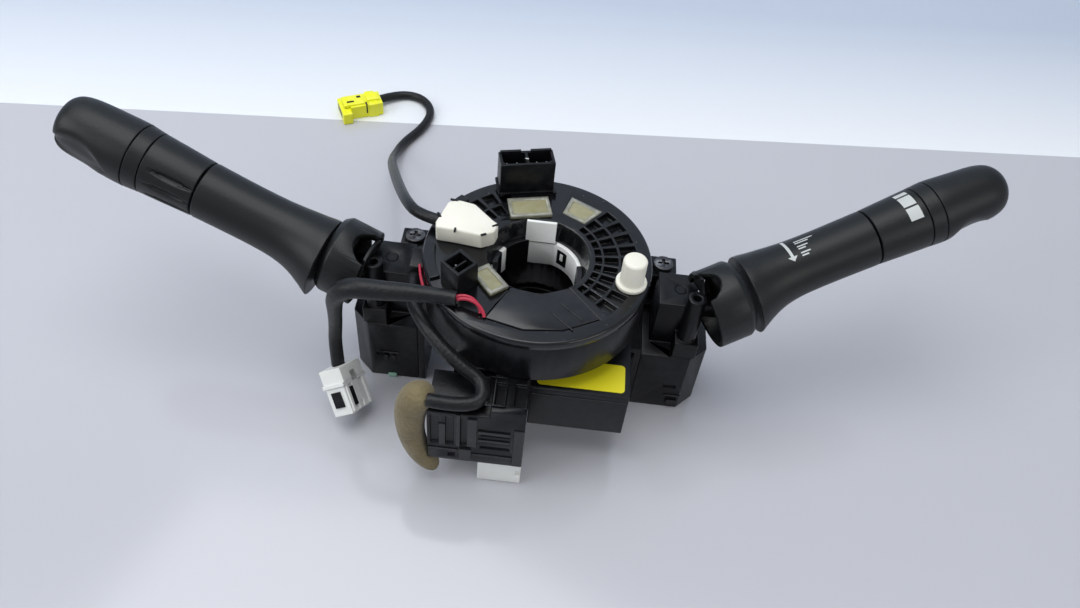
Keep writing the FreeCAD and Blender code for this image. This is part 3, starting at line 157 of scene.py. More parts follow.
def grain_group() -> bpy.types.NodeTree:
    """Fine moulded grain: cells with a little noise, as a height.

    Returns:
        The group.
    """
    tree, start, end = new_tree("moulded_grain", "ShaderNodeTree",
                                {"Vector": "Vector", "Scale": 900.0, "Depth": 1.0},
                                {"Height": "Float"})
    cells = add_node(tree, "ShaderNodeTexVoronoi", feature="SMOOTH_F1", Smoothness=0.6)
    clouds = add_node(tree, "ShaderNodeTexNoise", Detail=3.0, Roughness=0.6)
    mix = add_node(tree, "ShaderNodeMath", operation="ADD")
    depth = add_node(tree, "ShaderNodeMath", operation="MULTIPLY")
    join(tree, (start, "Vector", cells, "Vector"), (start, "Scale", cells, "Scale"),
         (start, "Vector", clouds, "Vector"), (start, "Scale", clouds, "Scale"),
         (cells, "Distance", mix, 0), (clouds, "Fac", mix, 1), (mix, 0, depth, 0),
         (start, "Depth", depth, 1), (depth, 0, end, "Height"))
    return tree


def tone_group() -> bpy.types.NodeTree:
    """Slow change of colour and gloss from handling, with a film of dust.

    Returns:
        The group.
    """
    tree, start, end = new_tree("handled_tone", "ShaderNodeTree", {
        "Vector": "Vector", "Base": (0.03, 0.03, 0.03, 1.0), "Worn": (0.06, 0.06, 0.06, 1.0),
        "Spread": 0.4, "Roughness": 0.5, "Gloss change": 0.1, "Scale": 30.0},
        {"Color": "Color", "Roughness": "Float"})
    clouds = add_node(tree, "ShaderNodeTexNoise", Detail=5.0, Roughness=0.55)
    fine = add_node(tree, "ShaderNodeTexNoise", Scale=420.0, Detail=2.0)
    mask = add_node(tree, "ShaderNodeMapRange", From_Min=0.35, From_Max=0.75)
    amount = add_node(tree, "ShaderNodeMath", operation="MULTIPLY")
    tint = add_node(tree, "ShaderNodeMix", data_type="RGBA")
    centred = add_node(tree, "ShaderNodeMath", operation="SUBTRACT")
    centred.inputs[1].default_value = 0.5
    both = add_node(tree, "ShaderNodeMath", operation="ADD")
    change = add_node(tree, "ShaderNodeMath", operation="MULTIPLY")
    total = add_node(tree, "ShaderNodeMath", operation="ADD", use_clamp=True)
    join(tree, (start, "Vector", clouds, "Vector"), (start, "Scale", clouds, "Scale"),
         (start, "Vector", fine, "Vector"), (clouds, "Fac", mask, "Value"),
         (mask, "Result", amount, 0), (start, "Spread", amount, 1),
         (amount, 0, tint, "Factor"), (start, "Base", tint, "A"), (start, "Worn", tint, "B"),
         (tint, "Result", end, "Color"), (fine, "Fac", centred, 0), (centred, 0, both, 0),
         (mask, "Result", both, 1), (both, 0, change, 0), (start, "Gloss change", change, 1),
         (start, "Roughness", total, 0), (change, 0, total, 1), (total, 0, end, "Roughness"))
    return tree


def edge_group() -> bpy.types.NodeTree:
    """Pale rub and painted highlight along the outer edges, as a colour over the base.

    Returns:
        The group.
    """
    tree, start, end = new_tree("edge_rub", "ShaderNodeTree", {
        "Vector": "Vector", "Color": (0.03, 0.03, 0.03, 1.0), "Rub": (0.1, 0.1, 0.1, 1.0),
        "Strength": 0.5}, {"Color": "Color"})
    shape = add_node(tree, "ShaderNodeNewGeometry")
    # painted highlight: edges found by pointiness are made paler, like the glints that light leaves on them
    edge = add_node(tree, "ShaderNodeMapRange", From_Min=0.52, From_Max=0.62)
    broken = add_node(tree, "ShaderNodeTexNoise", Scale=260.0, Detail=4.0)
    patch = add_node(tree, "ShaderNodeMapRange", From_Min=0.4, From_Max=0.6)
    # edge mask times noise patches: where the painted highlight and the rub go
    worn = add_node(tree, "ShaderNodeMath", operation="MULTIPLY")
    amount = add_node(tree, "ShaderNodeMath", operation="MULTIPLY")
    tint = add_node(tree, "ShaderNodeMix", data_type="RGBA")
    join(tree, (shape, "Pointiness", edge, "Value"), (start, "Vector", broken, "Vector"),
         (broken, "Fac", patch, "Value"), (edge, "Result", worn, 0), (patch, "Result", worn, 1),
         (worn, 0, amount, 0), (start, "Strength", amount, 1), (amount, 0, tint, "Factor"),
         (start, "Color", tint, "A"), (start, "Rub", tint, "B"), (tint, "Result", end, "Color"))
    return tree


GROUPS = {"grain": grain_group(), "tone": tone_group(), "edge": edge_group()}


@dataclass(frozen=True)
class Finish:
    """One finish of the unit, made as a procedural material.

    Colours are linear, grain is in grains per metre and relief in metres.
    """

    slot: str
    base: Colour
    worn: Colour
    roughness: float
    spread: float = 0.15
    gloss_change: float = 0.025
    tone_scale: float = 28.0
    bump: Bump = Bump.GRAIN
    grain: float = 1400.0
    relief: float = 0.00006
    # edge colour and how much of it: painted edge highlight together with rub
    rub: Colour = (0.1, 0.105, 0.11)
    rub_strength: float = 0.35
    metallic: float = 0.0
    sheen: float = 0.0
    transmission: float = 0.0
    subsurface: float = 0.0
    subsurface_radius: Colour = (0.003, 0.003, 0.002)
    specular: float = 0.5

    def material(self) -> bpy.types.Material:
        """Find the finish's material, or make it.

        Returns:
            The material.
        """
        known = bpy.data.materials.get(self.slot)
        if known is not None and known.get("dressed"):
            return known
        material = bpy.data.materials.new(self.slot)
        material["dressed"] = True
        material.use_nodes = True
        tree = material.node_tree
        shader = tree.nodes["Principled BSDF"]
        place = add_node(tree, "ShaderNodeTexCoord")
        tone = add_node(tree, "ShaderNodeGroup", node_tree=GROUPS["tone"], Base=(*self.base, 1),
                        Worn=(*self.worn, 1), Spread=self.spread, Roughness=self.roughness,
                        Gloss_change=self.gloss_change, Scale=self.tone_scale)
        # paler edges: painted highlight together with rub
        edge = add_node(tree, "ShaderNodeGroup", node_tree=GROUPS["edge"], Rub=(*self.rub, 1),
                        Strength=self.rub_strength)
        join(tree, (place, "Object", tone, "Vector"), (place, "Object", edge, "Vector"),
             (tone, "Color", edge, "Color"), (edge, "Color", shader, "Base Color"),
             (tone, "Roughness", shader, "Roughness"))
        if self.bump is not Bump.SMOOTH:
            scale = self.grain if self.bump is Bump.GRAIN else self.grain / 4
            grain = add_node(tree, "ShaderNodeGroup", node_tree=GROUPS["grain"],
                             Scale=scale, Depth=1.0)
            relief = add_node(tree, "ShaderNodeBump", Distance=self.relief, Strength=1.0)
            join(tree, (place, "Object", grain, "Vector"), (grain, "Height", relief, "Height"),
                 (relief, "Normal", shader, "Normal"))
        for socket, value in (("Metallic", self.metallic), ("Sheen Weight", self.sheen),
                              ("Specular IOR Level", self.specular),
                              ("Transmission Weight", self.transmission),
                              ("Subsurface Weight", self.subsurface)):
            shader.inputs[socket].default_value = value
        if self.subsurface:
            shader.inputs["Subsurface Radius"].default_value = self.subsurface_radius
            shader.inputs["Subsurface Scale"].default_value = 1.0
        return material


class Finishes:
    """Every finish of the unit, by the record's slots."""

    moulding = Finish("black_moulding", (0.0035, 0.0039, 0.0048), (0.007, 0.0078, 0.009), 0.30,
                      specular=0.26, relief=0.00004, rub_strength=0.1)
    gloss = Finish("gloss_black", (0.0036, 0.004, 0.0048), (0.006, 0.0066, 0.0078), 0.17,
                   grain=2200.0, relief=0.00001, rub_strength=0.12, specular=0.45)
    sensor = Finish("sensor_black", (0.0055, 0.0062, 0.0074), (0.009, 0.010, 0.0115), 0.32,
                    grain=1800.0, relief=0.00002, specular=0.30, rub_strength=0.08)
    grip = Finish("lever_grip", (0.0058, 0.0068, 0.0072), (0.009, 0.0102, 0.0106), 0.38,
                  grain=1500.0, relief=0.00004, rub_strength=0.2, specular=0.31)
    zinc = Finish("zinc_screw", (0.52, 0.52, 0.50), (0.38, 0.37, 0.34), 0.32, metallic=1.0,
                  grain=3000.0, relief=0.00001)
    # strong paler edges on the screws: painted highlight together with rub
    screw = Finish("black_screw", (0.07, 0.07, 0.075), (0.16, 0.155, 0.15), 0.34,
                   metallic=0.9, grain=2600.0, relief=0.00002, rub=(0.4, 0.4, 0.4),
                   rub_strength=0.8)
    ribbon = Finish("ribbon", (0.36, 0.30, 0.20), (0.28, 0.22, 0.14), 0.30, grain=900.0,
                    relief=0.00001)
    board = Finish("circuit_board", (0.02, 0.14, 0.06), (0.015, 0.10, 0.05), 0.35,
                   grain=700.0, relief=0.00002)
    label = Finish("yellow_label", (0.80, 0.72, 0.02), (0.72, 0.62, 0.02), 0.32,
                   spread=0.4, bump=Bump.SMOOTH, rub_strength=0.0)
    white = Finish("white_nylon", (0.82, 0.83, 0.80), (0.70, 0.71, 0.67), 0.42, spread=0.5,
                   grain=1500.0, relief=0.00003, rub=(0.85, 0.86, 0.82), subsurface=0.12)
    cream = Finish("cream_nylon", (0.80, 0.785, 0.69), (0.71, 0.69, 0.58), 0.45, spread=0.6,
                   grain=1500.0, relief=0.00003, rub=(0.85, 0.82, 0.68), subsurface=0.15)
    clear = Finish("clear_plate", (0.33, 0.31, 0.17), (0.24, 0.23, 0.14), 0.20,
                   bump=Bump.SMOOTH, rub=(0.5, 0.5, 0.4), transmission=0.15)
    rail = Finish("clear_rail", (0.46, 0.46, 0.38), (0.34, 0.34, 0.28), 0.12,
                  bump=Bump.SMOOTH, transmission=0.35)
    # pale grey of the specks on the rotor: dust, and painted glints
    dust = Finish("dust", (0.40, 0.40, 0.38), (0.28, 0.28, 0.26), 0.7, bump=Bump.SMOOTH)
    pin = Finish("tinned_pin", (0.70, 0.70, 0.66), (0.5, 0.5, 0.47), 0.28, metallic=1.0,
                 bump=Bump.SMOOTH)
    sheath = Finish("black_sheath", (0.005, 0.0057, 0.0066), (0.010, 0.011, 0.0125), 0.38,
                    spread=0.6, tone_scale=60.0, grain=700.0, relief=0.00012,
                    rub_strength=0.15, sheen=0.02, specular=0.27)
    wire = Finish("red_wire", (0.42, 0.02, 0.05), (0.30, 0.01, 0.03), 0.30,
                  bump=Bump.SMOOTH, rub_strength=0.0)
    yellow = Finish("yellow_plug", (0.86, 0.86, 0.005), (0.74, 0.72, 0.005), 0.34,
                    grain=1500.0, relief=0.00002, rub=(0.9, 0.9, 0.25), subsurface=0.1)
    print_grey = Finish("lever_print", (0.50, 0.52, 0.51), (0.40, 0.42, 0.41), 0.5,
                        bump=Bump.SMOOTH, rub_strength=0.0)
    mint = Finish("mint_clip", (0.34, 0.56, 0.45), (0.28, 0.48, 0.38), 0.4,
                  bump=Bump.SMOOTH, rub_strength=0.0)
    foam = Finish("brown_foam", (0.185, 0.150, 0.078), (0.125, 0.098, 0.045), 0.90,
                  spread=0.9, tone_scale=90.0, bump=Bump.FOAM, grain=2600.0,
                  relief=0.00035, rub_strength=0.0, sheen=0.2)

    @classmethod
    def of_slot(cls, slot: str) -> Finish:
        """Find a finish by its slot's name.

        Args:
            slot: a material slot of the record.

        Returns:
            The finish.
        """
        return next(item for item in vars(cls).values()
                    if isinstance(item, Finish) and item.slot == slot)


class Maker:
    """Gathers faces in millimetres and writes them as one piece in metres."""

    weld: float = 1e-4
    least_area: float = 1e-9
    arc_step: float = 3.0

    def __init__(self) -> None:
        """Start with no faces."""
        self.mesh = bmesh.new()

    def loft(self, rings: Sequence[Sequence[Point]], closed: bool = True,
             caps: bool = True) -> Maker:
        """Skin between rings that have equally many points.

        Args:
            rings: point rings, one after another.
            closed: whether each ring joins back to its start.
            caps: whether the first and last rings are filled.

        Returns:
            This maker.
        """
        rows = [[self.mesh.verts.new(point) for point in ring] for ring in rings]
        count = len(rows[0])
        last = count if closed else count - 1
        for near, far in zip(rows, rows[1:]):
            for index in range(last):
                after = (index + 1) % count
                self.mesh.faces.new((near[index], near[after], far[after], far[index]))
        if caps:
            self.mesh.faces.new(rows[0][::-1])
            self.mesh.faces.new(rows[-1])
        return self

    def prism(self, outline: Sequence[Point], low: float, high: float) -> Maker:
        """Upright block on an outline.

        Args:
            outline: x, y corners.
            low: height of its lower face.
            high: height of its upper face.

        Returns:
            This maker.
        """
        return self.loft([[(x, y, z) for x, y in outline] for z in (low, high)])

    def block(self, low: Point, high: Point) -> Maker:
        """Plain block between its lowest and its highest corner."""
        (a, b, c), (d, e, f) = low, high
        return self.prism([(a, b), (d, b), (d, e), (a, e)], c, f)

    def sector(self, near: float, far: float, first: float, last: float, low: float,
               high: float) -> Maker:
        """Part of an upright ring about the rotor's axis.

        Args:
            near: inner radius.
            far: outer radius.
            first: angle in degrees where it starts.
            last: angle where it ends.
            low: height of its lower face.
            high: height of its upper face.

        Returns:
            This maker.
        """
        steps = max(4, round((last - first) / self.arc_step))
        rings = []
        for step in range(steps + 1):
            turn = math.radians(first + (last - first) * step / steps)
            rings.append([(r * math.cos(turn), r * math.sin(turn), z)
                          for r, z in ((near, low), (far, low), (far, high), (near, high))])
        return self.loft(rings)

    def moved(self, matrix: Matrix) -> Maker:
        """Turn and move everything so far."""
        bmesh.ops.transform(self.mesh, matrix=matrix, verts=self.mesh.verts)
        return self

    def piece(self, name: str, finish: Finish, body: str, replaces: Iterable[str] = (),
              **edges: float) -> bpy.types.Object:
        """Write the faces as a finished piece.

        Args:
            name: the piece's name.
            finish: its finish.
            body: the body that it rides on.
            replaces: nodes that it stands for.
            edges: the bevel, segments, levels and sharp angle, as finished takes them.

        Returns:
            The piece.
        """
        bmesh.ops.remove_doubles(self.mesh, verts=self.mesh.verts, dist=self.weld)
        flat = [face for face in self.mesh.faces if face.calc_area() < self.least_area]
        bmesh.ops.delete(self.mesh, geom=flat, context="FACES")
        bmesh.ops.recalc_face_normals(self.mesh, faces=self.mesh.faces)
        bmesh.ops.scale(self.mesh, vec=(MM, MM, MM), verts=self.mesh.verts)
        return finished(as_mesh(self.mesh, name), name, finish, body, replaces, **edges)


def as_mesh(faces: bmesh.types.BMesh, name: str) -> bpy.types.Mesh:
    """Write gathered faces to a mesh and let go of them.

    Args:
        faces: the gathered faces.
        name: the mesh's name.

    Returns:
        The mesh.
    """
    data = bpy.data.meshes.new(name)
    faces.to_mesh(data)
    faces.free()
    return data


def finished(data: bpy.types.Mesh, name: str, finish: Finish, body: str,
             replaces: Iterable[str] = (), bevel: float = 0.0, segments: int = 2,
             levels: int = 0, sharp: float = 38.0) -> bpy.types.Object:
    """Shade a mesh, give it its finish and modifiers, and set it on its body.

    Args:
        data: the mesh, in metres.
        name: the piece's name.
        finish: its finish.
        body: the body that it rides on.
        replaces: nodes that it stands for.
        bevel: width of the rounded edges in millimetres, 0 for none.
        segments: faces across a rounded edge.
        levels: subdivision levels.
        sharp: angle in degrees from which an edge stays sharp.

    Returns:
        The piece.
    """
    piece = placed(name, data)
    data.materials.clear()
    data.materials.append(finish.material())
    data.shade_smooth()
    if bevel:
        round_off = piece.modifiers.new("edges", "BEVEL")
        round_off.width = bevel * MM
        round_off.segments = segments
        round_off.limit_method = "ANGLE"
        round_off.angle_limit = math.radians(sharp)
        round_off.use_clamp_overlap = False
        round_off.harden_normals = True
    else:
        data.set_sharp_from_angle(angle=math.radians(sharp))
    if levels:
        smooth = piece.modifiers.new("surface", "SUBSURF")
        smooth.levels = smooth.render_levels = levels
    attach(piece, body)
    if replaces:
        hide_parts(*replaces)
    log.info("%s: %d faces on %s", name, len(data.polygons), body)
    return piece


def softened(node: str, bevel: float) -> bpy.types.Object:
    """Piece with a node's own shape and rounded edges, standing for the node.

    Args:
        node: the node.
        bevel: width of the rounded edges in millimetres.

    Returns:
        The piece.
    """
    mesh = bmesh.new()
    mesh.from_mesh(frame["nodes"][node].data)
    bmesh.ops.remove_doubles(mesh, verts=mesh.verts, dist=SAME_POINT)
    bmesh.ops.dissolve_limit(mesh, angle_limit=FLAT_ANGLE, verts=mesh.verts, edges=mesh.edges)
    return finished(as_mesh(mesh, node + "_shape"), node + "_shell",
                    Finishes.of_slot(SLOT_OF[node]), NODE_BODY[node], [node], bevel, sharp=30.0)


class Form(Enum):
    """Small solids that a row can repeat, by the node that makes each."""

    BLOCK = "GeometryNodeMeshCube"
    POST = "GeometryNodeMeshCylinder"


def paint_copies(tree: bpy.types.NodeTree, start: bpy.types.Node, copies: bpy.types.Node,
                 end: bpy.types.Node) -> None:
    """Make a tree's copies real and give them its finish.

    Args:
        tree: the tree.
        start: the node that its inputs come from.
        copies: the node that makes the copies.
        end: the node that its outputs go to.
    """
    real = add_node(tree, "GeometryNodeRealizeInstances")
    paint = add_node(tree, "GeometryNodeSetMaterial")
    join(tree, (copies, 0, real, 0), (real, 0, paint, "Geometry"),
         (start, "Finish", paint, "Material"), (paint, 0, end, 0))


def row_tree(form: Form) -> bpy.types.NodeTree:
    """Geometry Nodes tree that sets out copies of one solid along a line or an arc.

    Args:
        form: the solid that is repeated.

    Returns:
        The tree, with its sizes in metres and its angles in radians.
    """
    tree, start, end = new_tree(f"row_of_{form.name.lower()}s", "GeometryNodeTree", {
        "Geometry": "Geometry", "Count": "Int", "Origin": "Vector", "Step": "Vector",
        "Radius": "Float", "First": "Float", "Turn": "Float", "Size": "Vector",
        "Finish": "Material"}, {"Geometry": "Geometry"})
    index = add_node(tree, "GeometryNodeInputIndex")
    angle = add_node(tree, "ShaderNodeMath", operation="MULTIPLY_ADD")
    arc = add_node(tree, "ShaderNodeCombineXYZ")
    for operation, label in (("COSINE", "X"), ("SINE", "Y")):
        wave = add_node(tree, "ShaderNodeMath", operation=operation)
        join(tree, (angle, 0, wave, 0), (wave, 0, arc, label))
    reach = add_node(tree, "ShaderNodeVectorMath", operation="SCALE")
    run = add_node(tree, "ShaderNodeVectorMath", operation="SCALE")
    both = add_node(tree, "ShaderNodeVectorMath", operation="ADD")
    place = add_node(tree, "ShaderNodeVectorMath", operation="ADD")
    points = add_node(tree, "GeometryNodePoints")
    moved = add_node(tree, "GeometryNodeSetPosition")
    solid = tree.nodes.new(form.value)
    if form is Form.POST:
        for label, value in (("Vertices", 24), ("Radius", 0.5), ("Depth", 1.0)):
            solid.inputs[label].default_value = value
    facing = add_node(tree, "ShaderNodeCombineXYZ")
    copies = add_node(tree, "GeometryNodeInstanceOnPoints")
    join(tree, (index, 0, angle, 0), (start, "Turn", angle, 1), (start, "First", angle, 2),
         (arc, 0, reach, 0), (start, "Radius", reach, "Scale"), (start, "Step", run, 0),
         (index, 0, run, "Scale"), (reach, 0, both, 0), (run, 0, both, 1), (both, 0, place, 0),
         (start, "Origin", place, 1), (start, "Count", points, "Count"),
         (points, 0, moved, "Geometry"), (place, 0, moved, "Position"), (angle, 0, facing, "Z"),
         (moved, 0, copies, "Points"), (solid, "Mesh", copies, "Instance"),
         (facing, 0, copies, "Rotation"), (start, "Size", copies, "Scale"))
    paint_copies(tree, start, copies, end)
    return tree


def speck_tree() -> bpy.types.NodeTree:
    """Geometry Nodes tree that strews small beads over a surface.

    Returns:
        The tree, with its sizes in metres.
    """
    tree, start, end = new_tree("specks", "GeometryNodeTree", {
        "Geometry": "Geometry", "Density": "Float", "Seed": "Int", "Smallest": "Float",
        "Largest": "Float", "Finish": "Material"}, {"Geometry": "Geometry"})
    strew = add_node(tree, "GeometryNodeDistributePointsOnFaces")
    bead = add_node(tree, "GeometryNodeMeshIcoSphere", Radius=0.5, Subdivisions=1)
    chance = add_node(tree, "FunctionNodeRandomValue", data_type="FLOAT")
    copies = add_node(tree, "GeometryNodeInstanceOnPoints")
    low, high = [socket for socket in chance.inputs if socket.enabled][:2]
    size = next(socket for socket in chance.outputs if socket.enabled)
    for source, target in ((start.outputs["Smallest"], low), (start.outputs["Largest"], high),
                           (size, copies.inputs["Scale"])):
        tree.links.new(source, target)
    join(tree, (start, "Geometry", strew, "Mesh"), (start, "Density", strew, "Density"),
         (start, "Seed", strew, "Seed"), (start, "Seed", chance, "Seed"),
         (strew, "Points", copies, "Points"), (bead, "Mesh", copies, "Instance"))
    paint_copies(tree, start, copies, end)
    return tree


TREES: dict[object, bpy.types.NodeTree] = {form: row_tree(form) for form in Form}
TREES["specks"] = speck_tree()


def grown(key: object, values: dict[str, object],
          surface: bpy.types.Mesh | None = None) -> bpy.types.Mesh:
    """Run a Geometry Nodes tree once and keep its result as a plain mesh.

    Args:
        key: the tree's key among the trees.
        values: the tree's named inputs.
        surface: the mesh that the tree starts from, if it needs one.

    Returns:
        The mesh, in metres.
    """
    tree = TREES[key]
    holder = placed("seed", surface or bpy.data.meshes.new("seed"))
    modifier = holder.modifiers.new("tree", "NODES")
    modifier.node_group = tree
    for item in tree.interface.items_tree:
        if item.item_type == "SOCKET" and item.in_out == "INPUT" and item.name in values:
            modifier[item.identifier] = values[item.name]
    holder.update_tag()
    graph = bpy.context.evaluated_depsgraph_get()
    result = bpy.data.meshes.new_from_object(holder.evaluated_get(graph))
    holder.modifiers.remove(modifier)
    bpy.data.objects.remove(holder)
    return result


@dataclass(frozen=True)
class Row:
    """Copies of one small solid along a line or an arc, in millimetres and degrees."""

    count: int
    size: Point
    origin: Point
    step: Point = (0.0, 0.0, 0.0)
    radius: float = 0.0
    first: float = 0.0
    turn: float = 0.0
    form: Form = Form.BLOCK

    def mesh(self, finish: Finish) -> bpy.types.Mesh:
        """Copies as one mesh in metres."""
        return grown(self.form, {
            "Count": self.count, "Origin": tuple(part * MM for part in self.origin),
            "Step": tuple(part * MM for part in self.step), "Radius": self.radius * MM,
            "First": math.radians(self.first), "Turn": math.radians(self.turn),
            "Size": tuple(part * MM for part in self.size), "Finish": finish.material()})


def rows(name: str, parts: Sequence[Row], finish: Finish, body: str,
         bevel: float) -> bpy.types.Object:
    """One piece from several rows.

    Args:
        name: the piece's name.
        parts: the rows.
        finish: their finish.
        body: the body that they ride on.
        bevel: width of the rounded edges in millimetres.

    Returns:
        The piece.
    """
    mesh = bmesh.new()
    for part in parts:
        mesh.from_mesh(part.mesh(finish))
    return finished(as_mesh(mesh, name), name, finish, body, bevel=bevel)


@dataclass(frozen=True)
class Studio:
    """Camera, floor, backdrop and lamps. Places are metres."""

    eye: Point = (0.0031, -0.2798, 0.3642)
    right: Point = (0.9936, 0.0844, 0.0755)
    up: Point = (-0.1132, 0.7407, 0.6622)
    lens: float = 30.43
    sensor: float = 36.0
    floor_colour: Colour = (0.50, 0.505, 0.54)
    wall_colour: Colour = (0.50, 0.56, 0.66)
    band_colour: Colour = (0.80, 0.82, 0.84)
    world_colour: Colour = (0.91, 0.94, 1.0)
    world_strength: float = 0.47
    seam: float = 0.1962
    seam_slope: float = 0.1015
    fade: float = 0.16
    half_width: float = 2.5
    wall_gap: float = 0.3
    wall_top: float = 2.2
    aim: Point = (0, 0, 0.05)

    def build(self) -> None:
        """Make the whole studio."""
        self.camera()
        self.floor()
        self.lamps()
        bpy.context.scene.view_settings.view_transform = "Standard"

    def camera(self) -> None:
        """Camera at the photograph's place and angle."""
        data = bpy.data.cameras.new("camera")
        data.lens = self.lens
        data.sensor_width = self.sensor
        data.sensor_fit = "HORIZONTAL"
        data.clip_start = 0.01
        camera = placed("camera", data)
        right, up = Vector(self.right).normalized(), Vector(self.up).normalized()
        back = right.cross(up).normalized()
        turn = Matrix((right, back.cross(right), back)).transposed()
        camera.matrix_world = Matrix.Translation(self.eye) @ turn.to_4x4()
        bpy.context.scene.camera = camera

    def plain(self, name: str, colour: Colour, roughness: float) -> bpy.types.Material:
        """Pale smooth surface with a slow change of tone.

        Args:
            name: the material's name.
            colour: its colour.
            roughness: how blurred its reflections are.

        Returns:
            The material.
        """
        material = bpy.data.materials.new(name)
        material.use_nodes = True
        tree = material.node_tree
        shader = tree.nodes["Principled BSDF"]
        place = add_node(tree, "ShaderNodeTexCoord")
        clouds = add_node(tree, "ShaderNodeTexNoise", Scale=1.6, Detail=2.0)
        tint = add_node(tree, "ShaderNodeMix", data_type="RGBA")
        tint.inputs["A"].default_value = (*(0.93 * part for part in colour), 1)
        tint.inputs["B"].default_value = (*(min(1.0, 1.07 * part) for part in colour), 1)
        join(tree, (place, "Object", clouds, "Vector"), (clouds, "Fac", tint, "Factor"),
             (tint, "Result", shader, "Base Color"))
        shader.inputs["Roughness"].default_value = roughness
        return material

    def sheet(self, name: str, corners: Sequence[Point], material: bpy.types.Material) -> None:
        """One flat stage panel.

        Args:
            name: the panel's name.
            corners: its corners in metres.
            material: its material.
        """
        data = bpy.data.meshes.new(name)
        data.from_pydata(corners, [], [tuple(range(len(corners)))])
        data.materials.append(material)
        placed(name, data)

    def faded(self) -> bpy.types.Material:
        """Far table, near white at the seam and bluer with distance.

        Returns:
            The material.
        """
        material = self.plain("far_table", self.band_colour, 0.35)
        tree = material.node_tree
        place = add_node(tree, "ShaderNodeTexCoord")
        parts = add_node(tree, "ShaderNodeSeparateXYZ")
        slant = add_node(tree, "ShaderNodeMath", operation="MULTIPLY_ADD")
        slant.inputs[1].default_value = -self.seam_slope
        far = add_node(tree, "ShaderNodeMapRange", From_Min=self.seam,
                       From_Max=self.seam + self.fade)
        tint = add_node(tree, "ShaderNodeMix", data_type="RGBA")
        tint.inputs["A"].default_value = (*self.band_colour, 1)
        tint.inputs["B"].default_value = (*self.wall_colour, 1)
        join(tree, (place, "Object", parts, 0), (parts, "X", slant, 0), (parts, "Y", slant, 2),
             (slant, 0, far, "Value"), (far, "Result", tint, "Factor"),
             (tint, "Result", tree.nodes["Principled BSDF"], "Base Color"))
        return material

    def one_sided(self, material: bpy.types.Material) -> bpy.types.Material:
        """Let a view from behind see through a panel.

        Args:
            material: the panel's material.

        Returns:
            The same material.
        """
        tree = material.node_tree
        face = add_node(tree, "ShaderNodeNewGeometry")
        clear = add_node(tree, "ShaderNodeBsdfTransparent")
        mix = add_node(tree, "ShaderNodeMixShader")
        shader, out = tree.nodes["Principled BSDF"], tree.nodes["Material Output"]
        join(tree, (face, "Backfacing", mix, 0), (shader, 0, mix, 1), (clear, 0, mix, 2),
             (mix, 0, out, "Surface"))
        return material

    def floor(self) -> None:
        """Pale table with a seam, a brighter far table and a backdrop."""
        left, right, near, gap = -self.half_width, self.half_width, -self.half_width, self.wall_gap
        edge = {side: self.seam + self.seam_slope * side for side in (left, right)}
        deep = {side: max(gap, value + gap) for side, value in edge.items()}
        table = [(left, near, 0), (right, near, 0), (right, edge[right], 0), (left, edge[left], 0)]
        far = [(left, edge[left], 0), (right, edge[right], 0), (right, deep[right], 0),
               (left, deep[left], 0)]
        wall = [(left, deep[left], 0), (right, deep[right], 0),
                (right, deep[right] + gap, self.wall_top), (left, deep[left] + gap, self.wall_top)]
        self.sheet("table", table, self.plain("table_top", self.floor_colour, 0.13))
        self.sheet("far_table", far, self.faded())
        backdrop = self.plain("backdrop", self.wall_colour, 0.6)
        self.sheet("backdrop", wall, self.one_sided(backdrop))

    def lamp(self, name: str, place: Point, size: float, power: float, colour: Colour) -> None:
        """One soft square lamp that faces the unit.

        Args:
            name: the lamp's name.
            place: where it is.
            size: its side.
            power: its power in watts.
            colour: its colour.
        """
        data = bpy.data.lights.new(name, "AREA")
        data.size = size
        data.energy = power
        data.color = colour
        lamp = placed(name, data)
        lamp.location = place
        direction = Vector(self.aim) - Vector(place)
        lamp.rotation_euler = direction.to_track_quat("-Z", "Y").to_euler()

    def lamps(self) -> None:
        """Soft daylight from above, with a window to the left and a weak fill."""
        world = bpy.data.worlds.new("studio")
        world.use_nodes = True
        sky = world.node_tree.nodes["Background"]
        sky.inputs["Color"].default_value = (*self.world_colour, 1)
        sky.inputs["Strength"].default_value = self.world_strength
        bpy.context.scene.world = world
        self.lamp("overhead", (-0.25, 0.1, 1.5), 1.2, 15, (0.98, 0.99, 1.0))
        self.lamp("window", (-1.3, -0.6, 1.0), 0.9, 9, (0.96, 0.98, 1.0))
        self.lamp("fill", (1.2, -0.9, 0.8), 0.8, 4, (1.0, 0.98, 0.95))


@dataclass(frozen=True)
class Lead:
    """A sheathed lead along its route, in millimetres."""

    name: str
    node: str
    route: Sequence[Point]
    radius: float
    swell: Sequence[float] = ()
    finish: Finish = Finishes.sheath

    def build(self) -> bpy.types.Object:
        """Make the lead as one smooth tube.

        Returns:
            The lead's curve.
        """
        data = bpy.data.curves.new(self.name, "CURVE")
        data.dimensions = "3D"
        data.bevel_depth = self.radius * MM
        data.bevel_resolution = 6
        data.use_fill_caps = True
        line = data.splines.new("NURBS")
        line.points.add(len(self.route) - 1)
        for index, (spot, point) in enumerate(zip(self.route, line.points)):
            point.co = (*(Vector(spot) * MM), 1)
            point.radius = self.swell[index] if self.swell else 1.0
        line.order_u = 3
        line.use_endpoint_u = True
        line.resolution_u = 12
        data.materials.append(self.finish.material())
        lead = placed(self.name, data)
        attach(lead, NODE_BODY[self.node])
        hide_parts(self.node)
        log.info("%s: lead with %d points", self.name, len(self.route))
        return lead


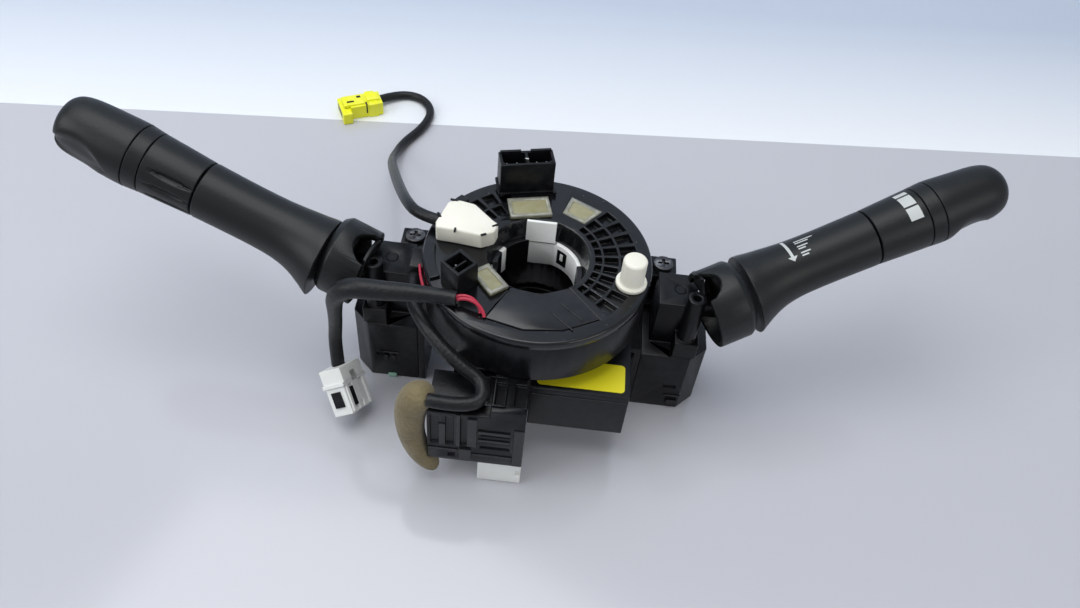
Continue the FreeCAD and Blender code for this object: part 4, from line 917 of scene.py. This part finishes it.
@dataclass(frozen=True)
class Leads:
    """The three leads with the plugs on the free ones."""

    stator: Lead = Lead("stator_sheath", "stator_lead", (
        (-52.8, -8.9, 70), (-52.8, -20, 70), (-47, -32, 70.5), (-36, -43.5, 66.5),
        (-25, -50, 62), (-17, -53.5, 59.5), (-15.5, -62.5, 58), (-25.5, -66, 57.6),
        (-38.2, -64.5, 57.3)), 3.0)
    airbag: Lead = Lead("airbag_sheath", "airbag_lead", (
        (-44.5, 9.1, 88), (-54.5, 11.8, 87.8), (-61.5, 22.5, 84.5), (-68.5, 42, 74),
        (-77, 70, 57.5), (-85.5, 101, 38), (-91.5, 129, 18), (-94, 149, 5.5),
        (-92, 164, 2.7), (-83, 180, 2.7), (-79.5, 198, 2.7), (-88.5, 211.5, 2.7),
        (-104, 213, 2.7), (-115, 202.5, 4.2)), 2.6)
    wheel: Lead = Lead("wheel_sheath", "wheel_lead", (
        (-31, -34.5, 87.4), (-46, -33.5, 87), (-62, -32.8, 85), (-73, -32.2, 84.5),
        (-79.6, -31.6, 81), (-83.2, -29.8, 73), (-84.8, -26.4, 61), (-86.6, -22.4, 47),
        (-88.2, -22, 34), (-86.5, -26.7, 23.6)), 3.9,
        (0.78, 0.9, 1.08, 1.14, 1.12, 0.98, 0.82, 0.78, 0.78, 0.8))
    airbag_length: float = 0.2721
    wheel_length: float = 0.1098

    def build(self) -> None:
        """Make the leads with their plugs."""
        self.stator.build()
        self.free(self.airbag, YellowPlug().build(), self.airbag_length, "plug", "loose")
        self.free(self.wheel, WhitePlug().build(), self.wheel_length, "connector", "hanging")

    def free(self, lead: Lead, pieces: Sequence[bpy.types.Object], length: float,
             far_end: str, lay: str) -> None:
        """Args:
            lead: the lead.
            pieces: the pieces at its far end, not used.
            length: its length in metres, not used.
            far_end: what it ends in, not used.
            lay: how it lies, not used.
        """
        lead.build()


@dataclass(frozen=True)
class YellowPlug:
    """Yellow plug on the end of the airbag lead, with its hood, ribs and latch."""

    heading: float = 206.0
    length: float = 26.5
    left: float = -3.6
    right: float = 11.4
    hood: float = 6.0
    reach: float = 3.4
    high: float = 10.0

    def build(self) -> list[bpy.types.Object]:
        """Make the plug.

        Returns:
            Its pieces.
        """
        x, y, _ = Leads.airbag.route[-1]
        heading = Matrix.Rotation(math.radians(self.heading), 4, "Z")
        turn = Matrix.Translation((x, y, 0)) @ heading
        left, right, high, end = self.left, self.right, self.high, self.length
        shell = Maker()
        shell.block((0, left + 1, 0), (end - self.hood, right - 1, high - 1))
        shell.block((3, left, 0), (9, right, high - 0.5))
        shell.block((end - self.hood, left, 0), (end, right + self.reach, high - 2.5))
        shell.block((11, left + 2.5, high - 2), (end - 2, right - 2.5, high))
        shell.block((1.5, left + 4, high - 2), (9.5, right - 4, high + 0.6))
        slots = Maker()
        slots.block((12.5, left + 4.2, high - 0.4), (15, left + 6.2, high + 0.15))
        slots.block((17.5, left + 8.5, high - 0.4), (22, left + 10, high + 0.15))
        slots.block((end - 0.4, left + 3, 2), (end + 0.1, right - 1, 6))
        slots.block((10, right - 3.2, 3), (10.8, right - 0.8, high + 0.1))
        return [shell.moved(turn).piece("yellow_plug_shell", Finishes.yellow, "rotor",
                                        ["airbag_plug"], bevel=0.5),
                slots.moved(turn).piece("yellow_plug_slots", Finishes.moulding, "rotor",
                                        bevel=0.1)]


@dataclass(frozen=True)
class WhitePlug:
    """White plug on the end of the wheel switch lead, with ribs and a dark insert."""

    along: Point = (0.4145, -0.5808, -0.7003)
    across: Point = (-0.842, 0.0347, -0.539)
    wide: float = 6.0
    deep: float = 9.3
    length: float = 22.4

    def build(self) -> list[bpy.types.Object]:
        """Make the plug.

        Returns:
            Its pieces.
        """
        along = Vector(self.along).normalized()
        across = Vector(self.across)
        across = (across - along * across.dot(along)).normalized()
        heading = Matrix((across, along.cross(across), along)).transposed().to_4x4()
        turn = Matrix.Translation(Leads.wheel.route[-1]) @ heading
        wide, deep, end = self.wide, self.deep, self.length
        shell = Maker()
        shell.block((-wide, -deep + 1.2, 0.3), (wide, deep - 1.2, 8))
        shell.loft([[(-wide, -deep, z), (wide, -deep, z), (wide, deep, z), (-wide, deep, z)]
                    for z in (7, 9)])
        shell.block((-wide + 0.8, -deep + 0.8, 9), (wide - 0.8, deep - 0.8, end))
        for y in (-deep + 1.8, -deep + 6.4, deep - 8.2, deep - 3.6):
            shell.block((-wide, y, 9), (wide, y + 1.8, end - 0.6))
        shell.block((-wide, -2.2, 3.5), (-wide + 0.9, 2.2, end - 4))
        dark = Maker()
        dark.block((-wide - 0.05, -deep + 3.7, 10.5), (-wide + 1.2, -deep + 6.3, end - 3))
        dark.block((-2.5, -deep - 0.05, 11), (2.5, -deep + 1.0, end - 4))
        dark.block((-wide + 2, -deep + 2, end - 0.3), (wide - 2, deep - 2, end + 0.05))
        return [shell.moved(turn).piece("white_plug_shell", Finishes.white, "rotor",
                                        ["wheel_plug"], bevel=0.35),
                dark.moved(turn).piece("white_plug_slots", Finishes.moulding, "rotor",
                                       bevel=0.1)]


@dataclass(frozen=True)
class Station:
    """Section of a lever: place along it, radius, shift forwards and down, and lift."""

    u: float
    half: float
    shift: float = 0.0
    lift: float = 0.0


@dataclass(frozen=True)
class Dent:
    """Long hollow in a lever's skin: middle, half length, angle, half width and depth."""

    u: float
    reach: float
    angle: float
    spread: float
    depth: float

    def at(self, u: float, angle: float) -> float:
        """Depth of the hollow at a place on the lever.

        Args:
            u: place along the lever.
            angle: place round it, in degrees.

        Returns:
            The depth in millimetres, 0 outside the hollow.
        """
        along = 1 - ((u - self.u) / self.reach) ** 2
        if along <= 0:
            return 0.0
        turn = (angle - self.angle + 180) % 360 - 180
        return self.depth * math.sqrt(along) * math.exp(-((turn / (self.spread * along)) ** 4))


@dataclass(frozen=True)
class LeverSizes:
    """Sections of one lever, in millimetres along its axis."""

    handle: tuple[Station, ...]
    ring: tuple[Station, ...]
    band: tuple[Station, ...]
    knob: tuple[Station, ...]
    dents: tuple[Dent, ...] = ()
    hollows: tuple[Dent, ...] = ()


HANDLE_ROOT = (Station(6.8, 18.2, 2.2), Station(9.5, 17.4, 1.7), Station(13, 16.2, 1.2),
               Station(18.3, 14.75, 0.53), Station(24.5, 13.6, 0.14), Station(32.6, 12.9),
               Station(46, 12.7))
LEFT_LEVER = LeverSizes(
    handle=(*HANDLE_ROOT, Station(66.1, 13)),
    ring=(Station(67, 13), Station(79, 13.6), Station(91, 14.15)),
    band=(Station(91.35, 14.2), Station(98, 14.8)),
    knob=(Station(98.3, 14.95), Station(104, 14.9), Station(110, 14.7), Station(118, 14.4),
          Station(124, 13.9), Station(128.6, 12.9), Station(131.4, 11.2), Station(132.7, 9),
          Station(133.2, 6), Station(133.5, 1)),
    dents=(Dent(77.2, 11.2, 38.5, 5.5, 1.5), Dent(77.4, 10.6, 10, 4.5, 1.2),
           Dent(77.2, 10.8, -18, 4.5, 1.2)),
    hollows=(Dent(120, 14.5, -8, 34, 2.2),))
RIGHT_LEVER = LeverSizes(
    handle=(*HANDLE_ROOT, Station(67.6, 13)),
    ring=(Station(68.5, 13), Station(80, 13.6), Station(92.3, 14.15)),
    band=(Station(92.65, 14.2), Station(99, 14.6)),
    knob=(Station(99.3, 14.6), Station(102.3, 14.5, 0, 0.1), Station(107, 14, 0, 0.3),
          Station(113.5, 13.5, 0, 0.2), Station(120.8, 13.1, 0, -0.1),
          Station(126, 12.5, 0, -0.3), Station(130.2, 11, 0, -0.3), Station(133, 8.4, 0, -0.2),
          Station(134.6, 5.2), Station(135.2, 1)),
    hollows=(Dent(112, 11, -142, 40, 1.3),))


@dataclass
class Lever:
    """One lever: root, handle, twist ring, band and end knob, on the frame's own axis."""

    side: Side
    sizes: LeverSizes
    sections: int = 144
    wall_places: Point = (-11.9, -10.4)
    wall_radius: float = 15.6
    wall_foot: float = 67.2
    wall_edge: float = 1.6
    wall_steps: int = 12

    def __post_init__(self) -> None:
        """Read the lever's axis from its twist joint."""
        joint = next(item for item in frame["joints"]
                     if item["name"] == f"{self.side.word}_ring_twist")
        self.root = Vector(joint["pos_m"]) / MM
        self.along = Vector(joint["axis"]).normalized()
        self.across = Vector((0, 0, 1)).cross(self.along).normalized()
        self.rise = self.along.cross(self.across)

    def spot(self, u: float, a: float, b: float) -> Vector:
        """Point at u along the lever, a across it and b up from its axis."""
        return self.root + self.along * u + self.across * a + self.rise * b

    def on_skin(self, u: float, angle: float, half: float) -> Vector:
        """Point on a round skin at an angle in degrees."""
        turn = math.radians(angle)
        return self.spot(u, half * math.cos(turn), half * math.sin(turn))

    def ring(self, station: Station, dents: Sequence[Dent]) -> list[Vector]:
        """Points round one section.

        Args:
            station: the section.
            dents: hollows that may cross it.

        Returns:
            The points.
        """
        points = []
        ahead = -self.side.value * station.shift
        for step in range(self.sections):
            angle = 360 * step / self.sections
            half = station.half - sum(dent.at(station.u, angle) for dent in dents)
            turn = math.radians(angle)
            points.append(self.spot(station.u, ahead + half * math.cos(turn),
                                    half * math.sin(turn) - station.shift + station.lift))
        return points

    def between(self, stations: Sequence[Station], u: float) -> Station:
        """Section at u on a smooth curve through the stations.

        Args:
            stations: the sections that are given.
            u: place along the lever.

        Returns:
            The section there.
        """
        last = len(stations) - 1
        index = next((i for i in range(last) if u <= stations[i + 1].u), last - 1)
        four = [stations[max(0, min(last, index + step))] for step in (-1, 0, 1, 2)]
        span = four[2].u - four[1].u
        t = (u - four[1].u) / span

        def smooth(pick: Callable[[Station], float]) -> float:
            """Cubic through four values with slopes from their own spacing.

            Args:
                pick: which value of a section is meant.

            Returns:
                The value at u.
            """
            p0, p1, p2, p3 = map(pick, four)
            m1 = (p2 - p0) / max(1e-6, four[2].u - four[0].u) * span
            m2 = (p3 - p1) / max(1e-6, four[3].u - four[1].u) * span
            return ((2 * t ** 3 - 3 * t ** 2 + 1) * p1 + (t ** 3 - 2 * t ** 2 + t) * m1
                    + (3 * t ** 2 - 2 * t ** 3) * p2 + (t ** 3 - t ** 2) * m2)

        return Station(u, smooth(lambda s: s.half), smooth(lambda s: s.shift),
                       smooth(lambda s: s.lift))

    def skin(self, stations: Sequence[Station], step: float = 1.5,
             dents: Sequence[Dent] = ()) -> list[list[Vector]]:
        """Rings of a smooth skin through the stations.

        Args:
            stations: the sections that are given.
            step: about how far the rings are apart.
            dents: hollows in the skin.

        Returns:
            The rings.
        """
        places = [stations[0].u]
        for near, far in zip(stations, stations[1:]):
            count = max(1, round((far.u - near.u) / step), round((near.half - far.half) / step))
            places += [near.u + (far.u - near.u) * index / count
                       for index in range(1, count + 1)]
        return [self.ring(self.between(stations, u), dents) for u in places]

    def part(self, name: str, stations: Sequence[Station], body: str, node: str,
             step: float = 1.5, dents: Sequence[Dent] = ()) -> bpy.types.Object:
        """One length of the lever, standing for its node.

        Args:
            name: what the piece is, without its side.
            stations: its sections.
            body: the body that it rides on.
            node: the node.
            step: about how far its rings are apart.
            dents: hollows in its skin.

        Returns:
            The piece.
        """
        return Maker().loft(self.skin(stations, step, dents)).piece(
            f"{self.side.word}_{name}", Finishes.grip, body, [node], bevel=0.45, sharp=50)

    def build(self) -> None:
        """Make every piece of the lever."""
        word, sizes = self.side.word, self.sizes
        stalk = f"{word}_stalk"
        self.part("handle", sizes.handle, stalk, f"{word}_lever")
        self.part("sleeve", sizes.ring, f"{word}_twist_ring", f"{word}_ring", 0.8, sizes.dents)
        self.part("collar", sizes.band, stalk, f"{word}_band")
        self.part("cap", sizes.knob, f"{word}_end_knob", f"{word}_knob", 1.0, sizes.hollows)
        softened(f"{word}_neck", 0.5)
        self.end_wall(stalk)

    def end_wall(self, body: str) -> None:
        """Wall that closes the root's end above the tower, behind the screw boss.

        Args:
            body: the body that it rides on.
        """
        side, radius, steps = self.side.value, self.wall_radius, self.wall_steps
        rings = []
        for u in self.wall_places:
            low = (self.wall_foot - self.spot(u, 0, 0).z) / self.rise.z
            edge = (self.wall_edge - self.spot(u, 0, 0).y) * side
            first = math.asin(low / radius)
            last = math.acos(edge / radius)
            rings.append([self.spot(u, side * edge, low)] + [
                self.spot(u, side * radius * math.cos(turn), radius * math.sin(turn))
                for turn in (first + (last - first) * step / steps
                             for step in range(steps + 1))])
        Maker().loft(rings).piece(f"{self.side.word}_neck_wall", Finishes.grip, body, bevel=0.3)


@dataclass(frozen=True)
class Print:
    """Plain printed marks on the right lever: an arrow, ticks and grey blocks.

    A mark's corners are places along the lever and angles round it, in degrees.
    """

    lever: Lever
    lift: float = 0.03
    steps: int = 8
    block_places: Point = (83.6, 89.6)
    block_arcs: tuple[Point, ...] = ((73, 98), (102, 127), (58, 69))
    arrow: tuple[tuple[Point, ...], ...] = (
        ((28.6, 52), (30, 52), (30, 104), (28.6, 104)),
        ((27, 103), (31.6, 103), (29.3, 113), (29.3, 113)))
    tick_place: float = 33.5
    tick_width: float = 3.0
    ticks: tuple[Point, ...] = ((68, 9), (74, 6.3), (84, 5), (90, 3.5), (100, 4.6), (106, 3.22))

    def patch(self, maker: Maker, stations: Sequence[Station], corners: Sequence[Point]) -> None:
        """Thin patch on the lever's skin.

        Args:
            maker: what gathers the faces.
            stations: the sections of the skin.
            corners: four corners, in order.
        """
        (u0, a0), (u1, a1), (u2, a2), (u3, a3) = corners
        rows_of_points = []
        for step in range(self.steps + 1):
            t = step / self.steps
            pair = []
            for near, far in (((u0, a0), (u3, a3)), ((u1, a1), (u2, a2))):
                u = near[0] + (far[0] - near[0]) * t
                angle = near[1] + (far[1] - near[1]) * t
                half = self.lever.between(stations, u).half + self.lift
                pair.append(self.lever.on_skin(u, angle, half))
            rows_of_points.append(pair)
        maker.loft(rows_of_points, closed=False, caps=False)

    def build(self) -> None:
        """Print the marks."""
        sizes = self.lever.sizes
        near, far = self.block_places
        grey = Maker()
        for first, last in self.block_arcs:
            self.patch(grey, sizes.ring, ((near, first), (far, first), (far, last), (near, last)))
        grey.piece("ring_blocks", Finishes.print_grey, "right_twist_ring")
        marks = Maker()
        for corners in self.arrow:
            self.patch(marks, sizes.handle, corners)
        near = self.tick_place
        for first, reach in self.ticks:
            far, last = near + reach, first + self.tick_width
            self.patch(marks, sizes.handle, ((near, first), (far, first), (far, last),
                                             (near, last)))
        marks.piece("lever_marks", Finishes.print_grey, "right_stalk")


@dataclass(frozen=True)
class Mouldings:
    """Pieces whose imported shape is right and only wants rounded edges."""

    bevels: tuple[tuple[str, float], ...] = (
        ("switch_base", 0.4), ("spiral_case", 0.5), ("rotor", 0.35), ("rotor_lid", 0.35),
        ("top_socket", 0.3), ("side_socket", 0.3), ("sensor_housing", 0.5),
        ("sensor_cover", 0.3), ("connector_block", 0.4), ("left_switch_housing", 0.5),
        ("right_switch_housing", 0.5), ("outlet_block", 1.0), ("drive_pin", 0.4),
        ("cancel_cam", 0.3), ("white_connector", 0.5), ("white_insert", 0.3),
        ("top_socket_plate", 0.3), ("side_socket_plate", 0.3), ("turn_window", 0.2),
        ("case_screws", 0.25))

    def build(self) -> None:
        """Round every piece's edges."""
        for node, bevel in self.bevels:
            softened(node, bevel)


@dataclass(frozen=True)
class RotorTrim:
    """Small parts on the rotor: rim band, lid ribs, plate rails, notches, liners, and pale specks that are dust
    and painted glints.

    A sector is two radii, two angles in degrees and two heights.
    """

    body: str = "rotor"
    top: float = 83.0
    band_radii: Point = (44.6, 49.4)
    band_arcs: tuple[Point, ...] = ((182, 207), (140, 152))
    wires: tuple[Point, ...] = ((50.6, 51.8, 189, 204, 76.4, 77.6),
                                (50.5, 51.7, 191, 203, 74.9, 76.1))
    ribs: tuple[Row, ...] = (
        Row(2, (12.4, 0.5, 0.5), (13.0, -37.1, 83.45), (3.5, 5.7, 0), first=-41),
        Row(1, (9.5, 0.5, 0.5), (-13.2, -27.5, 83.45), first=-118))
    notches: tuple[Row, ...] = (
        Row(1, (3.6, 1.1, 0.7), (-39.6, 19.6, 91.35), first=-8),
        Row(1, (3.4, 1.1, 0.7), (-44.6, 9.0, 91.35), first=-58),
        Row(1, (3.0, 1.2, 0.7), (-20.0, 6.2, 91.35), first=38),
        Row(1, (2.6, 1.1, 0.7), (-24.2, 0.0, 91.35), first=30),
        Row(1, (1.0, 2.8, 0.7), (-36.6, 0.8, 91.35)))
    liner_radii: Point = (17.85, 20.1)
    liner_arcs: tuple[Point, ...] = ((106, 144), (155, 177), (187, 230), (-18, 13))
    window: Point = (17.95, 18.5, 46, 63, 63, 71.5)
    catch: Point = (17.7, 18.4, 52, 57.5, 66, 70)
    upward: float = 0.9
    rail_width: float = 1.5
    rail_height: float = 1.3
    # pale specks on the rotor: dust, and painted glints
    dust_density: float = 9000.0
    dust_seed: int = 7
    dust_sizes: Point = (0.00012, 0.00032)

    def build(self) -> None:
        """Make every piece."""
        self.rim()
        rows("lid_ribs", self.ribs, Finishes.gloss, self.body, 0.12)
        rows("cover_notches", self.notches, Finishes.moulding, self.body, 0.25)
        self.sleeve()
        for node in ("top_socket_plate", "side_socket_plate", "turn_window"):
            self.rail(node)
        self.dust()

    def rim(self) -> None:
        """Raised band along the left of the rim, and the red wires behind it."""
        band = Maker()
        for first, last in self.band_arcs:
            band.sector(*self.band_radii, first, last, self.top - 0.5, self.top + 1.6)
        band.piece("rim_band", Finishes.gloss, self.body, bevel=0.5)
        wires = Maker()
        for sector in self.wires:
            wires.sector(*sector)
        wires.piece("case_wires", Finishes.wire, "base", bevel=0.45, segments=3)

    def sleeve(self) -> None:
        """Dark liners and the window that break up the white sleeve in the bore."""
        body = NODE_BODY["cancel_cam"]
        liners = Maker()
        for first, last in self.liner_arcs:
            liners.sector(*self.liner_radii, first, last, 60, 74.5)
        liners.piece("sleeve_liners", Finishes.gloss, body, bevel=0.2)
        window = Maker().sector(*self.window)
        window.piece("sleeve_window", Finishes.moulding, body, bevel=0.1)
        catch = Maker().sector(*self.catch)
        catch.piece("sleeve_catch", Finishes.white, body, bevel=0.15)

    def rail(self, node: str) -> None:
        """Clear rail round a plate's top, from the plate's own outline.

        Args:
            node: the plate.
        """
        mesh = bmesh.new()
        mesh.from_mesh(frame["nodes"][node].data)
        bmesh.ops.remove_doubles(mesh, verts=mesh.verts, dist=SAME_POINT)
        mesh.normal_update()
        hidden = [face for face in mesh.faces if face.normal.z < self.upward]
        bmesh.ops.delete(mesh, geom=hidden, context="FACES")
        bmesh.ops.dissolve_limit(mesh, angle_limit=0.02, verts=mesh.verts, edges=mesh.edges)
        border = set(bmesh.ops.inset_region(
            mesh, faces=mesh.faces[:], thickness=self.rail_width * MM, use_even_offset=True,
            use_boundary=True)["faces"])
        inner = [face for face in mesh.faces if face not in border]
        bmesh.ops.delete(mesh, geom=inner, context="FACES")
        name = f"{node}_rail"
        piece = finished(as_mesh(mesh, name), name, Finishes.rail, self.body)
        thick = piece.modifiers.new("thick", "SOLIDIFY")
        thick.thickness = self.rail_height * MM
        thick.offset = 0.0

    def dust(self) -> None:
        """Pale specks in the rotor's pockets: fine dust, and painted glints."""
        smallest, largest = self.dust_sizes
        specks = grown("specks", {
            "Density": self.dust_density, "Seed": self.dust_seed, "Smallest": smallest,
            "Largest": largest, "Finish": Finishes.dust.material()},
            frame["nodes"]["rotor"].data.copy())
        finished(specks, "rotor_dust", Finishes.dust, self.body)


@dataclass(frozen=True)
class SocketTrim:
    """Flange, wall tops, hooks, posts and blade of the upright sockets on the rotor."""

    body: str = "rotor"
    walls: tuple[Row, ...] = (
        Row(1, (26.6, 11.8, 1.4), (-10.1, 43.8, 83.6), first=14),
        Row(2, (9.6, 1.35, 1.2), (-17.9, 46.3, 100.3), (13.55, 3.4, 0), first=14),
        Row(2, (1.6, 1.1, 4.0), (-20.2, 37.5, 98.3), (21.4, 5.3, 0), first=14),
        Row(1, (0.9, 7.5, 9.0), (-31.4, -22.2, 90.0), first=-40))
    posts: tuple[Row, ...] = (
        Row(2, (1.7, 1.7, 1.6), (-19.6, 34.9, 84.2), (23.6, 5.4, 0), form=Form.POST),)
    blade: tuple[Point, Point] = ((-10.8, 41.6, 92), (-9.2, 42.4, 101))

    def build(self) -> None:
        """Make every piece."""
        rows("socket_trim", self.walls, Finishes.moulding, self.body, 0.2)
        rows("socket_posts", self.posts, Finishes.sensor, self.body, 0.2)
        Maker().block(*self.blade).piece("socket_blade", Finishes.pin, self.body, bevel=0.15)


@dataclass(frozen=True)
class FrontTrim:
    """Ribs, bars and contacts on the front connector block, the sensor and the housings.

    A bar is its left and right ends, its lower and upper edges and how far it stands out.
    """

    body: str = "base"
    front: float = -67.0
    sunk: float = 0.3
    bars: tuple[Point, ...] = (
        (-21.1, -17.1, 31, 51, 0.9), (-24.3, -19.3, 21, 28.6, 1.1),
        (-16.5, -2.9, 41.2, 43, 0.8), (-16.5, -2.9, 35.2, 36.8, 0.6), (-1.4, 2.8, 19, 46, 0.6),
        (-38.1, -25, 26.2, 27.2, 0.5), (-19, -1.6, 24.2, 25.2, 0.5),
        (-33.2, -30.4, 30, 45.5, 0.5), (-25.8, -24.2, 30, 53, 0.5))
    ribs: tuple[Row, ...] = (
        Row(2, (1.0, 15, 1.0), (-14.1, -57, 58.2), (7.4, 0, 0)),
        Row(2, (6.4, 0.7, 1.0), (-10.4, -64.2, 58.2), (0, 14.4, 0)),
        Row(1, (1.0, 15, 1.0), (2.2, -57, 58.2)),
        Row(4, (1.2, 5, 1.2), (-34, -36, 53.2), (4.2, 0, 0)))
    contacts: tuple[Row, ...] = (
        Row(2, (0.8, 0.8, 2.6), (-8.1, -40.2, 58.8), (4.6, 0.4, 0)),
        Row(3, (0.8, 0.8, 2.4), (-25.5, -38.2, 54), (3.9, 0.2, 0)))
    catches: tuple[Row, ...] = (
        Row(1, (5, 1.6, 3.4), (71.8, -12.3, 5)),
        Row(2, (1.8, 1.2, 3.4), (-67.4, -12.2, 14.7), (3.8, 0, 0)),
        Row(1, (9, 1.0, 1.0), (-65.5, -12.1, 18.4)),
        Row(1, (8, 1.0, 1.0), (71.5, -12.1, 9.6)))
    seam: tuple[Point, Point] = ((4, -45.8, 44), (45.8, -45.3, 44.5))
    clip: tuple[Point, Point] = ((-67, -13.2, 0.2), (-62.8, -11.5, 2.2))

    def build(self) -> None:
        """Make every piece."""
        bars = Maker()
        for left, right, low, high, out in self.bars:
            bars.block((left, self.front - out, low), (right, self.front + self.sunk, high))
        bars.piece("block_bars", Finishes.gloss, self.body, bevel=0.2)
        rows("block_ribs", self.ribs, Finishes.gloss, self.body, 0.12)
        rows("block_contacts", self.contacts, Finishes.pin, self.body, 0.1)
        Maker().block(*self.seam).piece("sensor_seam", Finishes.gloss, self.body, bevel=0.1)
        rows("housing_catches", self.catches, Finishes.gloss, self.body, 0.25)
        Maker().block(*self.clip).piece("mint_clip", Finishes.mint, self.body, bevel=0.3)


@dataclass(frozen=True)
class FoamWrap:
    """Brown foam wound round the end of the held lead, hanging beside the block."""

    route: tuple[Point, ...] = (
        (-36.5, -61.5, 58.5), (-42.5, -61, 56), (-45.7, -61.5, 49), (-46.6, -62, 40),
        (-46.2, -62.5, 30), (-43.8, -63, 20), (-39.4, -63.6, 11.5), (-34.2, -64, 6.5))
    halves: tuple[Point, ...] = (
        (4.2, 5.0), (7.6, 7.2), (7.2, 7.2), (6.6, 6.9), (5.9, 6.6), (5.2, 6.2), (4.2, 5.4),
        (2.2, 3.4))
    around: int = 40
    fold_depth: float = 0.035
    folds: int = 3
    fold_twist: float = 1.7

    def build(self) -> None:
        """Make the wrap as one rounded form with soft folds."""
        rings = []
        spots = [Vector(point) for point in self.route]
        for index, (spot, (thick, wide)) in enumerate(zip(spots, self.halves)):
            near, far = spots[max(0, index - 1)], spots[min(len(spots) - 1, index + 1)]
            ahead = (far - near).normalized()
            side = Vector((0, 1, 0)).cross(ahead).normalized()
            flat = ahead.cross(side)
            rings.append([])
            for step in range(self.around):
                turn = math.tau * step / self.around
                wave = math.sin(self.folds * turn + self.fold_twist * index)
                fold = 1 + self.fold_depth * wave
                rings[-1].append(spot + side * (thick * fold * math.cos(turn))
                                 + flat * (wide * fold * math.sin(turn)))
        Maker().loft(rings).piece("foam_wrap", Finishes.foam, NODE_BODY["foam_tape"],
                                  ["foam_tape"], levels=2, sharp=80)


@dataclass(frozen=True)
class SensorLabel:
    """Plain yellow label with round corners."""

    left: float = 5.6
    right: float = 43.6
    front: float = -43.9
    back: float = -28.9
    corner: float = 1.8
    low: float = 49.0
    high: float = 49.2
    steps: int = 6

    def build(self) -> None:
        """Make the label."""
        corner, outline = self.corner, []
        left, right = self.left + corner, self.right - corner
        front, back = self.front + corner, self.back - corner
        for x, y, first in ((right, back, 0), (left, back, 90), (left, front, 180),
                            (right, front, 270)):
            for step in range(self.steps + 1):
                turn = math.radians(first + 90 * step / self.steps)
                outline.append((x + corner * math.cos(turn), y + corner * math.sin(turn)))
        Maker().prism(outline, self.low, self.high).piece(
            "label_sheet", Finishes.label, NODE_BODY["sensor_label"], ["sensor_label"])


def dress_nodes() -> None:
    """Give each node that stays its own procedural finish."""
    for node, item in frame["nodes"].items():
        finish = Finishes.of_slot(SLOT_OF[node])
        item.data.materials.clear()
        item.data.materials.append(finish.material())


def main() -> None:
    """Dress the unit and set up the studio."""
    logging.basicConfig(level=logging.INFO, format="%(name)s: %(message)s")
    Studio().build()
    dress_nodes()
    Leads().build()
    Lever(Side.LEFT, LEFT_LEVER).build()
    right = Lever(Side.RIGHT, RIGHT_LEVER)
    right.build()
    Print(right).build()
    Mouldings().build()
    RotorTrim().build()
    SocketTrim().build()
    FrontTrim().build()
    SensorLabel().build()
    FoamWrap().build()


if __name__ == "__main__":
    main()
